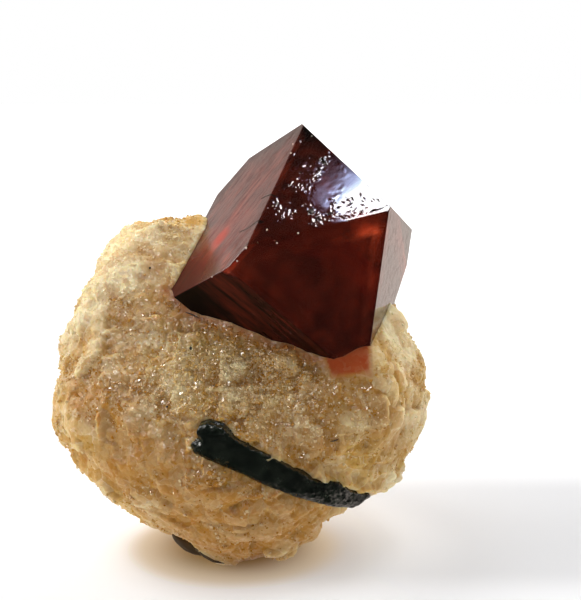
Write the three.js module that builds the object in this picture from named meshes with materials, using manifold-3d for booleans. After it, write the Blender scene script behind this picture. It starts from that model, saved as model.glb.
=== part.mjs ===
// A zircon crystal on its calcite matrix, with a dark mineral blade in the front of the matrix.
// Millimetres, +Z up. The origin is the middle of the object's box, on the surface it stands on.
import * as THREE from 'three';
import * as BufferGeometryUtils from 'three/addons/utils/BufferGeometryUtils.js';
import Module from 'manifold-3d';

const wasm = await Module();
wasm.setup();

const GAP = 0.3;                        // clearance between neighbouring minerals
const RAD = Math.PI / 180;

// Zircon: a square prism closed at both ends by four-sided pyramids.
const ZIRCON = {
  centre: [5.03, -0.10, 21.43],
  sideAxisA: [0.7004, 0.2517, -0.6678], // directions of the two prism axes and of the long axis
  sideAxisB: [0.3067, 0.7388, 0.6001],
  longAxis: [0.6445, -0.6252, 0.4403],
  axialRatio: 0.9054,                   // long axis over side axis of zircon's unit cell
};

// How far each face lies from the crystal's middle. A face is named by its indices along
// side axis A, side axis B and the long axis; the last two are small faces on its corners.
const ZIRCON_FACES = [
  { index: [-1, 0, 0], distance: 7.2 },
  { index: [1, 0, 0], distance: 7.2 },
  { index: [0, -1, 0], distance: 7.35 },
  { index: [0, 1, 0], distance: 7.25 },
  { index: [-1, 0, 1], distance: 8.06 },
  { index: [1, 0, 1], distance: 6.56 },
  { index: [0, -1, 1], distance: 7.14 },
  { index: [0, 1, 1], distance: 7.78 },
  { index: [-1, 0, -1], distance: 8.6 },
  { index: [1, 0, -1], distance: 7.4 },
  { index: [0, 1, -1], distance: 6.7 },
  { index: [0, -1, -1], distance: 7.4 },
  { index: [2, 1, 1], distance: 9.0 },
  { index: [-0.068, -0.99, 0.113], distance: 8.03 },
];

// Matrix: a rounded lump seen from its front, which leans back a little. Its radius from the
// centre is an egg whose outline follows the list, with one broken face and some low swellings.
const MATRIX = {
  centre: [0, -0.1, 11.9],
  frontLean: 17,                        // degrees that the front looks up
  frontDepth: 10.5,
  backDepth: 11,
  rimBand: 0.42,                        // how far round from the outline its detail reaches
  fineWidth: 5,                         // degrees over which the outline points are blended
  broadWidth: 26,
  detail: 13,                           // subdivision of the starting ball
};

// [angle in degrees anticlockwise from the right, radius]
const OUTLINE = [
  [0, 14.25], [6, 14.45], [12, 14.0], [20, 13.75], [29, 13.8], [45, 13.6], [62, 13.4], [80, 13.4],
  [96, 13.7], [105, 14.0], [112, 14.2], [118, 15.1], [125, 15.3], [132, 15.25], [139, 14.05],
  [147, 14.0], [155, 13.65], [164, 14.25], [174, 14.0], [186, 14.4], [194, 14.2], [202, 13.8],
  [210, 13.3], [219, 12.65], [229, 12.3], [239, 12.1], [249, 11.7], [257, 12.5], [265, 12.8],
  [276, 12.9], [286, 13.1], [295, 12.6], [305, 11.9], [315, 12.1], [323, 12.6], [330, 13.8],
  [340, 14.0], [350, 14.05],
];

const BROKEN_FACE = { normal: [0.03, -0.81, 0.585], distance: 8.0, softness: 1.6 };

// [angle round the front axis, angle away from it, height, width in degrees]
const SWELLINGS = [
  [100, 66, -1.7, 13], [143, 76, 0.5, 13], [188, 62, 0.5, 16], [160, 48, -0.45, 12],
  [220, 55, 0.5, 15], [305, 42, -0.4, 13], [255, 36, 0.5, 17], [350, 60, 0.4, 12],
  [22, 72, -1.0, 9], [14, 53, 0.5, 6], [16, 38, -0.75, 6], [118, 40, 0.25, 9],
  [150, 24, 0.35, 12], [270, 12, 0.35, 16], [350, 34, 0.3, 12], [60, 112, 0.6, 16],
  [118, 122, 0.6, 18], [330, 124, -0.7, 15], [180, 138, 0.6, 18], [260, 122, 0.5, 16],
  [30, 142, 0.5, 14], [0, 166, -0.5, 18], [150, 105, -0.5, 12], [200, 108, 0.5, 14],
];

// Dark blade: a gently bent flat prism let into the lower front of the matrix.
const BLADE = {
  path: [
    [-2.6, -10.15, 11.8], [0.55, -10.5, 10.4], [3.65, -9.75, 8.5], [6.5, -8.25, 6.8],
    [8.95, -6.0, 5.5],
  ],
  halfWidth: 1.12,
  halfDepth: 0.72,
  rightWidth: 0.7,                      // share of the width left at the right end
  squareness: 4,                        // power of the section's outline: 2 is round, more is squarer
  endSize: 0.72,                        // share of the section left at both ends
  endGrowth: 9,                         // how fast the section grows back along the path
  cutReach: 6,                          // the notch and the slant die out over 1 / 6 of the path
  notchDepth: 0.4,                      // notch between the two lobes of the left end
  notchWidth: 0.35,                     // as a share of the half width
  notchFloor: 0.6,                      // share of the notch's depth at the end face's middle
  endSlant: 0.55,                       // how far the right end's upper edge reaches past its middle
  // Clumps on the upper side: [middle, half length, both as shares of the path, height]
  clumps: [[0.09, 0.08, 0.42], [0.42, 0.12, 0.20], [0.74, 0.09, 0.40]],
  stations: 20,
  sides: 14,
};

// A small dark grain that shows under the left edge of the matrix.
const BASE_GRAIN = { centre: [-3.85, -5.2, 1.2], radii: [1.45, 0.7, 0.55], turn: -36, detail: 1 };

const vec = ([x, y, z]) => new THREE.Vector3(x, y, z);

function finish(colour, roughness, metalness = 0, opacity = 1) {
  const transparent = opacity < 1;
  return new THREE.MeshStandardMaterial({ color: colour, roughness, metalness, opacity, transparent });
}

// Closed geometry from corner points and triangles.
function geometryFrom(points, triangles) {
  const geometry = new THREE.BufferGeometry();
  const numbers = points.flatMap((p) => [p.x, p.y, p.z]);
  geometry.setAttribute('position', new THREE.Float32BufferAttribute(numbers, 3));
  geometry.setIndex(triangles.flat());
  return geometry;
}

function toSolid(geometry) {
  const bare = geometry.clone();
  bare.deleteAttribute('normal');
  bare.deleteAttribute('uv');
  const merged = BufferGeometryUtils.mergeVertices(bare, 1e-5);
  return new wasm.Manifold(new wasm.Mesh({
    numProp: 3,
    vertProperties: new Float32Array(merged.attributes.position.array),
    triVerts: new Uint32Array(merged.index.array),
  }));
}

function toGeometry(solid) {
  const mesh = solid.getMesh();
  const geometry = new THREE.BufferGeometry();
  geometry.setAttribute('position', new THREE.BufferAttribute(mesh.vertProperties, 3));
  geometry.setIndex(new THREE.BufferAttribute(mesh.triVerts, 1));
  geometry.computeVertexNormals();
  return geometry;
}

// The convex solid inside a set of planes: every corner is where three planes meet inside all
// the others, and each face is a fan over its own corners in order round its normal.
function polyhedron(planes) {
  const corners = [];
  const touching = [];
  const matrix = new THREE.Matrix3();
  for (let i = 0; i < planes.length; i += 1) {
    for (let j = i + 1; j < planes.length; j += 1) {
      for (let k = j + 1; k < planes.length; k += 1) {
        const [a, b, c] = [planes[i], planes[j], planes[k]];
        matrix.set(a.normal.x, a.normal.y, a.normal.z, b.normal.x, b.normal.y, b.normal.z,
          c.normal.x, c.normal.y, c.normal.z);
        if (Math.abs(matrix.determinant()) < 1e-6) continue;
        const corner = new THREE.Vector3(a.distance, b.distance, c.distance).applyMatrix3(matrix.invert());
        if (planes.some((plane) => plane.normal.dot(corner) > plane.distance + 1e-6)) continue;
        const known = corners.findIndex((other) => other.distanceTo(corner) < 1e-5);
        if (known < 0) {
          corners.push(corner);
          touching.push(new Set([i, j, k]));
        } else {
          [i, j, k].forEach((index) => touching[known].add(index));
        }
      }
    }
  }
  const triangles = [];
  planes.forEach((plane, index) => {
    const ring = corners.map((_, n) => n).filter((n) => touching[n].has(index));
    if (ring.length < 3) return;
    const middle = new THREE.Vector3();
    ring.forEach((n) => middle.addScaledVector(corners[n], 1 / ring.length));
    const across = corners[ring[0]].clone().sub(middle).normalize();
    const along = plane.normal.clone().cross(across);
    const angle = (n) => {
      const offset = corners[n].clone().sub(middle);
      return Math.atan2(offset.dot(along), offset.dot(across));
    };
    ring.sort((m, n) => angle(m) - angle(n));
    for (let n = 1; n < ring.length - 1; n += 1) triangles.push([ring[0], ring[n], ring[n + 1]]);
  });
  return geometryFrom(corners, triangles);
}

// The zircon's planes in the object's frame, moved out by an allowance.
function zirconPlanes(allowance = 0) {
  const centre = vec(ZIRCON.centre);
  const [a, b, c] = [vec(ZIRCON.sideAxisA), vec(ZIRCON.sideAxisB), vec(ZIRCON.longAxis)];
  return ZIRCON_FACES.map(({ index, distance }) => {
    const normal = new THREE.Vector3()
      .addScaledVector(a, index[0])
      .addScaledVector(b, index[1])
      .addScaledVector(c, index[2] / ZIRCON.axialRatio)
      .normalize();
    return { normal, distance: distance + allowance + normal.dot(centre) };
  });
}

const FRONT = new THREE.Vector3(0, -Math.cos(MATRIX.frontLean * RAD), Math.sin(MATRIX.frontLean * RAD));
const UPWARD = new THREE.Vector3(0, Math.sin(MATRIX.frontLean * RAD), Math.cos(MATRIX.frontLean * RAD));

// Outline radius at an angle: the listed radii averaged with bell-shaped weights.
function outlineRadius(angle, width) {
  let total = 0;
  let weights = 0;
  OUTLINE.forEach(([place, radius]) => {
    const away = ((angle - place + 540) % 360) - 180;
    const weight = Math.exp(-((away / width) ** 2));
    total += weight * radius;
    weights += weight;
  });
  return total / weights;
}

// The smaller of two lengths, rounded over where they cross.
function softMinimum(a, b, softness) {
  const share = THREE.MathUtils.clamp(0.5 + (0.5 * (b - a)) / softness, 0, 1);
  return b * (1 - share) + a * share - softness * share * (1 - share);
}

function matrixRadius(direction) {
  const forward = direction.dot(FRONT);
  const angle = (Math.atan2(direction.dot(UPWARD), direction.x) / RAD + 360) % 360;
  const broad = outlineRadius(angle, MATRIX.broadWidth);
  const nearRim = Math.exp(-((forward / MATRIX.rimBand) ** 2));
  const rim = broad + (outlineRadius(angle, MATRIX.fineWidth) - broad) * nearRim;
  const depth = forward > 0 ? MATRIX.frontDepth : MATRIX.backDepth;
  let radius = 1 / Math.sqrt((1 - forward * forward) / (rim * rim) + (forward / depth) ** 2);
  const facing = direction.dot(vec(BROKEN_FACE.normal).normalize());
  if (facing > 0.05) radius = softMinimum(radius, BROKEN_FACE.distance / facing, BROKEN_FACE.softness);
  SWELLINGS.forEach(([round, away, height, width]) => {
    const centre = FRONT.clone().multiplyScalar(Math.cos(away * RAD))
      .addScaledVector(UPWARD, Math.sin(away * RAD) * Math.sin(round * RAD));
    centre.x += Math.sin(away * RAD) * Math.cos(round * RAD);
    radius += height * Math.exp(-((centre.angleTo(direction) / RAD / width) ** 2));
  });
  return radius;
}

function matrixLump() {
  const ball = new THREE.IcosahedronGeometry(1, MATRIX.detail);
  ball.deleteAttribute('normal');
  ball.deleteAttribute('uv');
  const lump = BufferGeometryUtils.mergeVertices(ball, 1e-5);
  const centre = vec(MATRIX.centre);
  const places = lump.attributes.position;
  for (let n = 0; n < places.count; n += 1) {
    const direction = new THREE.Vector3().fromBufferAttribute(places, n).normalize();
    const point = centre.clone().addScaledVector(direction, matrixRadius(direction));
    places.setXYZ(n, point.x, point.y, point.z);
  }
  return lump;
}

// The blade: a rounded-square section carried along the bent path, with bell-shaped clumps on
// its upper side, the left end set back in its middle so that it ends in two lobes, and the
// right end slanted.
function bladeGeometry(allowance = 0) {
  const curve = new THREE.CatmullRomCurve3(BLADE.path.map(vec));
  const centre = vec(MATRIX.centre);
  const points = [];
  const triangles = [];
  const { stations, sides } = BLADE;
  for (let s = 0; s < stations; s += 1) {
    const t = s / (stations - 1);
    const place = curve.getPoint(t);
    const along = curve.getTangent(t);
    const outward = place.clone().sub(centre);
    outward.addScaledVector(along, -outward.dot(along)).normalize();
    const across = along.clone().cross(outward);
    const ends = Math.min(1, BLADE.endSize + BLADE.endGrowth * Math.min(t, 1 - t));
    const width = BLADE.halfWidth * ends * THREE.MathUtils.lerp(1, BLADE.rightWidth, t) + allowance;
    const depth = BLADE.halfDepth * ends + allowance;
    const setBack = BLADE.notchDepth * Math.max(0, 1 - BLADE.cutReach * t);
    const slant = BLADE.endSlant * Math.max(0, 1 - BLADE.cutReach * (1 - t));
    const clump = BLADE.clumps.reduce((sum, [middle, reach, height]) => (
      sum + height * Math.exp(-(((t - middle) / reach) ** 2))
    ), 0);
    const push = (s === 0 ? -allowance : 0) + (s === stations - 1 ? allowance : 0);
    for (let n = 0; n < sides; n += 1) {
      const turn = (2 * Math.PI * n) / sides;
      const [c, q] = [Math.cos(turn), Math.sin(turn)];
      const power = BLADE.squareness;
      const fullness = (Math.abs(c) ** power + Math.abs(q) ** power) ** (-1 / power);
      const side = c * fullness;
      const notch = setBack * Math.exp(-((side / BLADE.notchWidth) ** 2));
      points.push(place.clone()
        .addScaledVector(across, side * width + clump * Math.min(side, 0))
        .addScaledVector(outward, q * fullness * depth)
        .addScaledVector(along, notch - slant * side + push));
    }
  }
  const ring = (s, n) => s * sides + (n % sides);
  for (let s = 0; s < stations - 1; s += 1) {
    for (let n = 0; n < sides; n += 1) {
      triangles.push([ring(s, n), ring(s + 1, n + 1), ring(s, n + 1)]);
      triangles.push([ring(s, n), ring(s + 1, n), ring(s + 1, n + 1)]);
    }
  }
  [0, stations - 1].forEach((s) => {
    const rim = Array.from({ length: sides }, (_, n) => points[ring(s, n)]);
    const middle = rim.reduce((sum, p) => sum.add(p), new THREE.Vector3()).divideScalar(sides);
    if (s === 0) middle.addScaledVector(curve.getTangent(0), BLADE.notchDepth * BLADE.notchFloor);
    points.push(middle);
    for (let n = 0; n < sides; n += 1) {
      const face = [points.length - 1, ring(s, n), ring(s, n + 1)];
      triangles.push(s === 0 ? face : [face[0], face[2], face[1]]);
    }
  });
  return geometryFrom(points, triangles);
}

function baseGrainGeometry(allowance = 0) {
  const grain = new THREE.IcosahedronGeometry(1, BASE_GRAIN.detail);
  const [x, y, z] = BASE_GRAIN.radii.map((radius) => radius + allowance);
  grain.scale(x, y, z);
  grain.rotateY(-BASE_GRAIN.turn * RAD);
  grain.translate(...BASE_GRAIN.centre);
  return grain;
}

function groundBlock() {
  const size = 60;
  const block = new THREE.BoxGeometry(size, size, size);
  block.translate(0, 0, -size / 2);
  return block;
}

function matrixSolid() {
  return toSolid(matrixLump())
    .subtract(toSolid(groundBlock()))
    .subtract(toSolid(polyhedron(zirconPlanes(GAP))))
    .subtract(toSolid(bladeGeometry(GAP)))
    .subtract(toSolid(baseGrainGeometry(GAP)));
}

const calcite = finish(0xd8b583, 0.75);
const deepRedZircon = finish(0x6a1710, 0.06, 0, 0.75);
const blackGreenMineral = finish(0x14170f, 0.3);

function node(name, geometry, material) {
  const mesh = new THREE.Mesh(geometry, material);
  mesh.name = name;
  return mesh;
}

const specimen = new THREE.Group();
specimen.add(node('calcite_matrix', toGeometry(matrixSolid()), calcite));
specimen.add(node('zircon_crystal', toGeometry(toSolid(polyhedron(zirconPlanes()))), deepRedZircon));
specimen.add(node('dark_blade', toGeometry(toSolid(bladeGeometry())), blackGreenMineral));
specimen.add(node('dark_base_grain', toGeometry(toSolid(baseGrainGeometry())), blackGreenMineral));

export default specimen;
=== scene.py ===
import itertools
import math

import bpy
import numpy as np
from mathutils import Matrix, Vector


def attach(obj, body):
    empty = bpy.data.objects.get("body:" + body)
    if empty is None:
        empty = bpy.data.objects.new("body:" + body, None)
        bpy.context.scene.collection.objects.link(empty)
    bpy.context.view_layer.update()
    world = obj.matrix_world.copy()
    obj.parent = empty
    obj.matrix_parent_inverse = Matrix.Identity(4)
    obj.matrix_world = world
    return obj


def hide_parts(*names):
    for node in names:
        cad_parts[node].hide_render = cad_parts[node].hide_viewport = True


# A zircon crystal on its calcite matrix, with a dark mineral blade and a dark grain.
# Lengths are millimetres until a mesh is made. +Z is up and the front looks towards -Y.

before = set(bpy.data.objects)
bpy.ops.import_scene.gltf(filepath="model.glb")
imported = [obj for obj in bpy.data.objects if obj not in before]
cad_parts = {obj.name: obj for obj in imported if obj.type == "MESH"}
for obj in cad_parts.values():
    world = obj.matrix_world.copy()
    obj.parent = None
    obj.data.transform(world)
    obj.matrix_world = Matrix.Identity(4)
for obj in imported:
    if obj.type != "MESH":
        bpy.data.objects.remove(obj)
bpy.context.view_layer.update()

MM = 0.001
FAR = 99.0                              # further than anything on the object
UP = np.array([0.0, 0.0, 1.0])


# ---------------------------------------------------------------- sizes, as in the CAD source

ZIRCON_CENTRE = np.array([5.03, -0.10, 21.43])
SIDE_AXIS_A = np.array([0.7004, 0.2517, -0.6678])
SIDE_AXIS_B = np.array([0.3067, 0.7388, 0.6001])
LONG_AXIS = np.array([0.6445, -0.6252, 0.4403])
AXIAL_RATIO = 0.9054

# A face is named by its indices along side axis A, side axis B and the long axis.
ZIRCON_FACES = {
    (-1, 0, 0): 7.2,
    (1, 0, 0): 7.2,
    (0, -1, 0): 7.35,
    (0, 1, 0): 7.25,
    (-1, 0, 1): 8.06,
    (1, 0, 1): 6.56,
    (0, -1, 1): 7.14,
    (0, 1, 1): 7.78,
    (-1, 0, -1): 8.6,
    (1, 0, -1): 7.4,
    (0, 1, -1): 6.7,
    (0, -1, -1): 7.4,
    (2, 1, 1): 9.0,
    (-0.068, -0.99, 0.113): 8.03,
}

MATRIX_CENTRE = np.array([0.0, -0.1, 11.9])
FRONT_LEAN = math.radians(17)
RIGHTWARD = np.array([1.0, 0.0, 0.0])
FRONT = np.array([0.0, -math.cos(FRONT_LEAN), math.sin(FRONT_LEAN)])
UPWARD = np.array([0.0, math.sin(FRONT_LEAN), math.cos(FRONT_LEAN)])
FRONT_DEPTH = 10.5
BACK_DEPTH = 11.0
RIM_BAND = 0.42                         # sine of the lean over which the fine outline dies out
FINE_WIDTH = 5.0                        # degrees over which the outline is averaged at the rim
BROAD_WIDTH = 26.0                      # the same away from the rim

# (degrees anticlockwise from the right, radius)
OUTLINE = np.array([
    (0, 14.25), (6, 14.45), (12, 14.0), (20, 13.75), (29, 13.8), (45, 13.6), (62, 13.4), (80, 13.4),
    (96, 13.7), (105, 14.0), (112, 14.2), (118, 15.1), (125, 15.3), (132, 15.25), (139, 14.05),
    (147, 14.0), (155, 13.65), (164, 14.25), (174, 14.0), (186, 14.4), (194, 14.2), (202, 13.8),
    (210, 13.3), (219, 12.65), (229, 12.3), (239, 12.1), (249, 11.7), (257, 12.5), (265, 12.8),
    (276, 12.9), (286, 13.1), (295, 12.6), (305, 11.9), (315, 12.1), (323, 12.6), (330, 13.8),
    (340, 14.0), (350, 14.05),
])

BROKEN_FACE_NORMAL = np.array([0.03, -0.81, 0.585])
BROKEN_FACE_DISTANCE = 8.0
BROKEN_FACE_SOFTNESS = 1.6

# (angle round the front axis, angle away from it, height, width in degrees)
SWELLINGS = [
    (100, 66, -1.7, 13), (143, 76, 0.5, 13), (188, 62, 0.5, 16), (160, 48, -0.45, 12),
    (220, 55, 0.5, 15), (305, 42, -0.4, 13), (255, 36, 0.5, 17), (350, 60, 0.4, 12),
    (22, 72, -1.0, 9), (14, 53, 0.5, 6), (16, 38, -0.75, 6), (118, 40, 0.25, 9), (150, 24, 0.35, 12),
    (270, 12, 0.35, 16), (350, 34, 0.3, 12), (60, 112, 0.6, 16), (118, 122, 0.6, 18),
    (330, 124, -0.7, 15), (180, 138, 0.6, 18), (260, 122, 0.5, 16), (30, 142, 0.5, 14),
    (0, 166, -0.5, 18), (150, 105, -0.5, 12), (200, 108, 0.5, 14),
]

BLADE_PATH = np.array([
    (-2.6, -10.15, 11.8), (0.55, -10.5, 10.4), (3.65, -9.75, 8.5), (6.5, -8.25, 6.8), (8.95, -6.0, 5.5),
])
BLADE_HALF_WIDTH = 1.12
BLADE_HALF_DEPTH = 0.72
BLADE_RIGHT_WIDTH = 0.7                 # share of the width left at the right end
BLADE_SQUARENESS = 4                    # power of the section's outline: 2 is round, more is squarer
BLADE_END_SIZE = 0.72                   # share of the section left at both ends
BLADE_END_GROWTH = 9                    # how fast the section grows back along the path
BLADE_CUT_REACH = 6                     # the notch and the slant die out over 1 / 6 of the path
BLADE_NOTCH = 0.4
BLADE_NOTCH_WIDTH = 0.35
BLADE_NOTCH_FLOOR = 0.6                 # where the notched end's middle lies, as a share of the notch
BLADE_SLANT = 0.55
# Rough clumps on the blade's upper side: (middle, half length as shares of the path, height)
BLADE_CLUMPS = [(0.09, 0.08, 0.42), (0.42, 0.12, 0.20), (0.74, 0.09, 0.40)]

CONTACT_GAP = 0.02                      # clearance between the finished pieces


# ---------------------------------------------------------------- relief, tones and small pieces

LIP_PLACE = 1.15                        # how far above the blade's middle its calcite lip stands
LIP_HEIGHT = 0.5
LIP_WIDTH = 0.38
TROUGH_PLACE = 0.9                      # how far below the blade's middle its trough lies
TROUGH_DEPTH = 0.4
TROUGH_WIDTH = 0.6
LIP_REACH = 2.2                         # how far from the blade's path they stop

MATRIX_DIVISIONS = 124                  # of each side of the lump's grid
MATRIX_CROWDING = 0.2                   # how much the grid is crowded towards the front

# Relief of packed grains: (cell size, height, tilt, doming)
CALCITE_LUMPS = (2.4, 0.672, 0.75, 0.4)
CALCITE_KNOBS = (1.05, 0.399, 1.15, 0.35)
CALCITE_CRYSTALS = (0.42, 0.1974, 1.1, 0.45)
BLADE_DENTS = (0.35, 0.055, 0.8, 0.5)
CLUMP_DENTS = (0.24, 0.25, 0.8, 0.5)

# Small cleavage rhombs of calcite: batches, places tried in each, and a rhomb's middle size
RHOMB_BATCHES = 3
RHOMB_TRIES = 39000
RHOMB_SIZE = 0.053
RHOMB_SQUASH = 0.22                     # how much a cube is squashed along its diagonal
RHOMB_CLEARANCE = 0.35                  # about how far they keep from the crystal and the blade

# Where the calcite is more amber, or paler: (place, radius, strength). The amber spots are partly
# its own tone and partly painted shade, low on the lump and round the crystal's left tip; the pale
# ones are partly its own tone and partly painted light, most at the lit upper left.
AMBER_SPOTS = [
    ((0.0, -9.5, 4.6), 6.5, 0.75), ((3.0, -9.0, 14.0), 5.0, 0.16), ((-6.0, 0.1, 24.6), 1.2, 0.5),
    ((-10.6, -7.4, 13.2), 1.8, 0.7), ((-1.3, -10.9, 7.7), 2.2, 0.55), ((2.8, -9.6, 5.9), 1.8, 0.5),
    ((10.2, -7.8, 12.0), 2.0, 0.45), ((-8.0, -9.0, 8.0), 2.4, 0.35), ((8.0, -7.8, 14.5), 1.6, 0.4),
    ((-3.6, -5.5, 18.6), 0.8, 0.5), ((-1.0, -9.7, 3.8), 1.8, 0.5),
    ((-7.6, -8.7, 13.2), 2.2, 0.5), ((-6.2, -9.7, 10.2), 2.0, 0.5), ((0.1, -10.8, 7.5), 1.6, 0.6),
    ((-2.2, -11.0, 8.9), 1.3, 0.3), ((6.6, -9.4, 11.2), 1.3, 0.5),
    ((7.0, -7.9, 14.6), 1.2, 0.8), ((8.4, -7.7, 14.1), 1.1, 0.5), ((9.7, -7.9, 13.2), 1.6, 0.6),
    ((-6.5, -5.2, 18.7), 1.3, 0.5), ((-5.9, -2.5, 21.8), 1.2, 0.5), ((-1.6, -7.9, 15.1), 1.3, 0.45),
    ((5.3, -8.9, 12.3), 1.2, 0.4), ((-2.6, -10.7, 8.0), 2.0, 0.45), ((-1.0, -10.7, 7.2), 2.0, 0.35),
    ((-2.8, -10.4, 7.1), 1.8, 0.3), ((2.8, -6.7, 16.3), 1.4, 0.4), ((-8.9, -6.5, 16.3), 1.5, 0.3),
]
PALE_SPOTS = [
    ((-9.6, -0.7, 23.0), 3.4, 0.75), ((-10.4, -3.6, 19.9), 3.2, 0.6), ((-6.4, -2.4, 22.5), 2.4, 0.35),
    ((-6.1, -5.6, 18.0), 1.8, 0.25), ((11.8, -2.0, 17.0), 2.6, 0.4), ((4.6, -8.5, 4.8), 1.5, 0.3),
    ((0.5, -9.8, 2.6), 1.8, 0.25), ((12.0, -5.6, 10.8), 1.4, 0.35), ((12.2, -4.5, 15.0), 2.2, 0.4),
    ((0.6, -7.6, 15.5), 1.4, 0.3), ((4.0, -9.3, 11.5), 2.0, 0.35), ((-0.4, -10.7, 9.6), 1.2, 0.25),
]
# Where more painted glow, standing for light through it from behind, is given: (place, radius, strength)
LIT_SPOTS = [
    ((-8.5, -0.5, 23.5), 3.0, 0.9), ((-11.0, -3.5, 20.3), 2.4, 0.25), ((12.3, -4.5, 14.5), 2.6, 0.3),
    ((-10.8, -7.2, 13.3), 2.2, 0.5), ((5.2, -8.8, 5.0), 1.8, 0.25), ((-7.5, -8.8, 9.2), 2.4, 0.25),
]
# The level of both tones, and the height and size of the noise in them
TONE_LEVEL = 0.36
TONE_NOISE = 0.30
TONE_SIZE = 2.8
# Painted shade and light: how much crests over hollows add to them, so hollows turn amber and crests
# pale
AMBER_HOLLOW_SHADE = -0.85
PALE_CREST_LIGHT = 0.75
# The middle of its sugary patch, and how far the patch reaches along each axis.
SUGARY_PLACE = np.array([0.5, -8.5, 14.0])
SUGARY_REACH = np.array([5.0, 5.0, 4.0])
# Thin calcite over the crystal's lower corner: its left and right sides, and the heights of its
# lower edge and of the top of its slanted left side.
WINDOW_SIDES = (6.3, 9.8)
WINDOW_HEIGHTS = (15.2, 15.9)
WINDOW_EDGE = 0.55
WINDOW_SLANT = 0.7                      # how fast its left side moves right further down
WINDOW_RAGGED = 0.22
WINDOW_GROWTH = 0.2                     # how far it reaches past its left side and lower edge
# How far from the crystal its red-brown band reaches, and the height and the place to the right
# past which there is little of it. The band is partly the calcite's own tone and partly painted
# shade along the contact with the crystal.
NEAR_REACH = 1.25
NEAR_TOP = 22.0
NEAR_RIGHT = 10.0

# The grain of dark mineral under the base, a little inside its CAD solid. Its brown tone also
# stands for the contact shadow round it: partly painted shade.
BASE_GRAIN_CENTRE = np.array([-3.85, -5.1, 1.3])
BASE_GRAIN_RADII = np.array([1.35, 0.62, 0.42])
BASE_GRAIN_TURN = math.radians(-36)
# A thin dark rod along the base, from the grain, that is painted shade on the contact line: its places
# and its radius.
BASE_SHADE_LINE = [(-3.2, -6.0, 1.40), (-2.5, -6.3, 0.95), (-1.8, -6.45, 0.62), (-1.0, -6.4, 0.42)]
BASE_SHADE_LINE_RADIUS = 0.1

# The etched pyramid face, and the left and right ends of its lower edge.
ETCHED_FACE = (-1, 0, 1)
ETCHED_LEFT = np.array([1.0, -8.98, 24.63])
ETCHED_RIGHT = np.array([10.68, -6.27, 26.74])
ETCHED_SHARE = 0.975                    # the rest of the face is its plain rim
ETCHED_FADE = 0.3                       # width over which the relief dies out at the rim
ETCHED_DIVISIONS = 165                  # steps from its middle to each corner
RIPPLE_TURN = math.radians(27)          # how the low ripples over its middle are turned
RIPPLE_HEIGHT = 0.008
PIT_HEIGHT = 0.0015
WAVE_HEIGHT = 0.0012
WORN_EDGE = 0.05                        # width of the worn edges between the crystal's faces
WORN_ANGLE = math.radians(12)           # an edge that bends less than this isn't worn

# Healed veils sealed in the crystal: (face it is parallel to, depth under that face, glow, streaks).
# Their glow is painted light: emission that stands for red light inside the crystal.
VEILS = [
    ((-1, 0, 0), 0.55, 0.27, 1.0),
    ((0, -1, 1), 1.5, 0.09, 0.0),
    ((0, -1, 0), 1.2, 0.10, 0.3),
    ((-1, 0, 1), 1.5, 0.10, 0.2),
    ((0, -1, 1), 4.0, 0.10, 0.2),
    ((1, 0, 1), 1.0, 0.12, 0.2),
]
VEIL_MARGIN = 0.3                       # how far short of the crystal's faces a veil ends
VEIL_WAVES = 0.3                        # the most that a veil's long waves rise
VEIL_RIPPLES = 0.08
VEIL_THICKNESS = 0.02
VEIL_STEPS = 45
GLOW_LIMIT = 6.0                        # the most that a veil glows

STREAK = (0.598, 0.300, 0.742)          # direction of the streaks under the left prism face

# Places where the veils' painted glow is stronger, or weaker: (place, radius, added glow)
GLOWS = [
    ((-1.9, -3.5, 23.3), 1.7, 0.36),
    ((-1.65, -4.15, 23.6), 0.42, 5.0),
    ((-1.1, -3.4, 24.5), 0.55, 2.0),
    ((-2.3, -4.6, 22.7), 0.6, 0.8),
    ((-0.5, -7.5, 23.4), 0.6, 0.8),
    ((-0.3, -2.9, 25.4), 1.6, 0.18),
    ((2.2, -6.9, 27.0), 1.8, -0.20),
    ((9.6, -5.9, 24.9), 1.1, 1.5),
    ((9.6, -5.6, 22.0), 1.4, 0.18),
    ((8.0, -6.0, 25.2), 1.0, 0.15),
    ((-0.1, -7.2, 22.0), 1.1, 0.12),
    ((-0.5, -8.2, 22.7), 0.35, 1.8),
    ((-4.5, -4.8, 19.8), 3.0, -0.3),
]

# The middle of the red glow painted on the left prism face.
RED_SPOT = np.array([-1.1, -3.7, 24.4])

# The crystal's left tip, round which its skin is darkened with painted shade.
LEFT_TIP = np.array([-4.5, -4.8, 19.8])

# Cracks in the left prism face, each a line of places on it.
CRACKS = [
    [(1.74, -7.10, 26.12), (1.40, -6.88, 25.85), (1.08, -6.67, 25.59),
     (0.69, -6.29, 25.32), (0.31, -5.82, 25.11)],
    [(2.53, -5.18, 27.68), (2.18, -4.67, 27.50), (1.84, -4.30, 27.29)],
]
CRACK_DEPTH = 0.45
CRACK_LEAST_DEPTH = 0.08
CRACK_RISE = 0.012                      # how far it stands out of the face
CRACK_THICKNESS = 0.07

# Dark specks on the calcite: (place, radius), and thin dark rods along lines of places on it,
# each with its radius. The second rod, under the crystal's left tip, is painted shade in the gap there.
SPECKS = [
    ((-3.11, -6.67, 17.0), 0.15), ((-6.68, -4.17, 20.29), 0.10), ((-6.38, -2.84, 22.04), 0.08),
    ((-4.61, -9.02, 13.42), 0.08), ((-8.6, -7.0, 15.2), 0.06), ((1.6, -9.6, 6.0), 0.06),
]
LINES = [
    (0.05, [(6.63, -9.50, 11.10), (6.84, -9.43, 11.09), (7.04, -9.37, 11.13), (7.22, -9.30, 11.17)]),
    # painted shade: a dark rod in the shaded gap under the crystal's left tip
    (0.05, [(-3.66, -4.99, 19.22), (-3.07, -5.17, 19.04), (-2.60, -5.30, 18.82)]),
]

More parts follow.
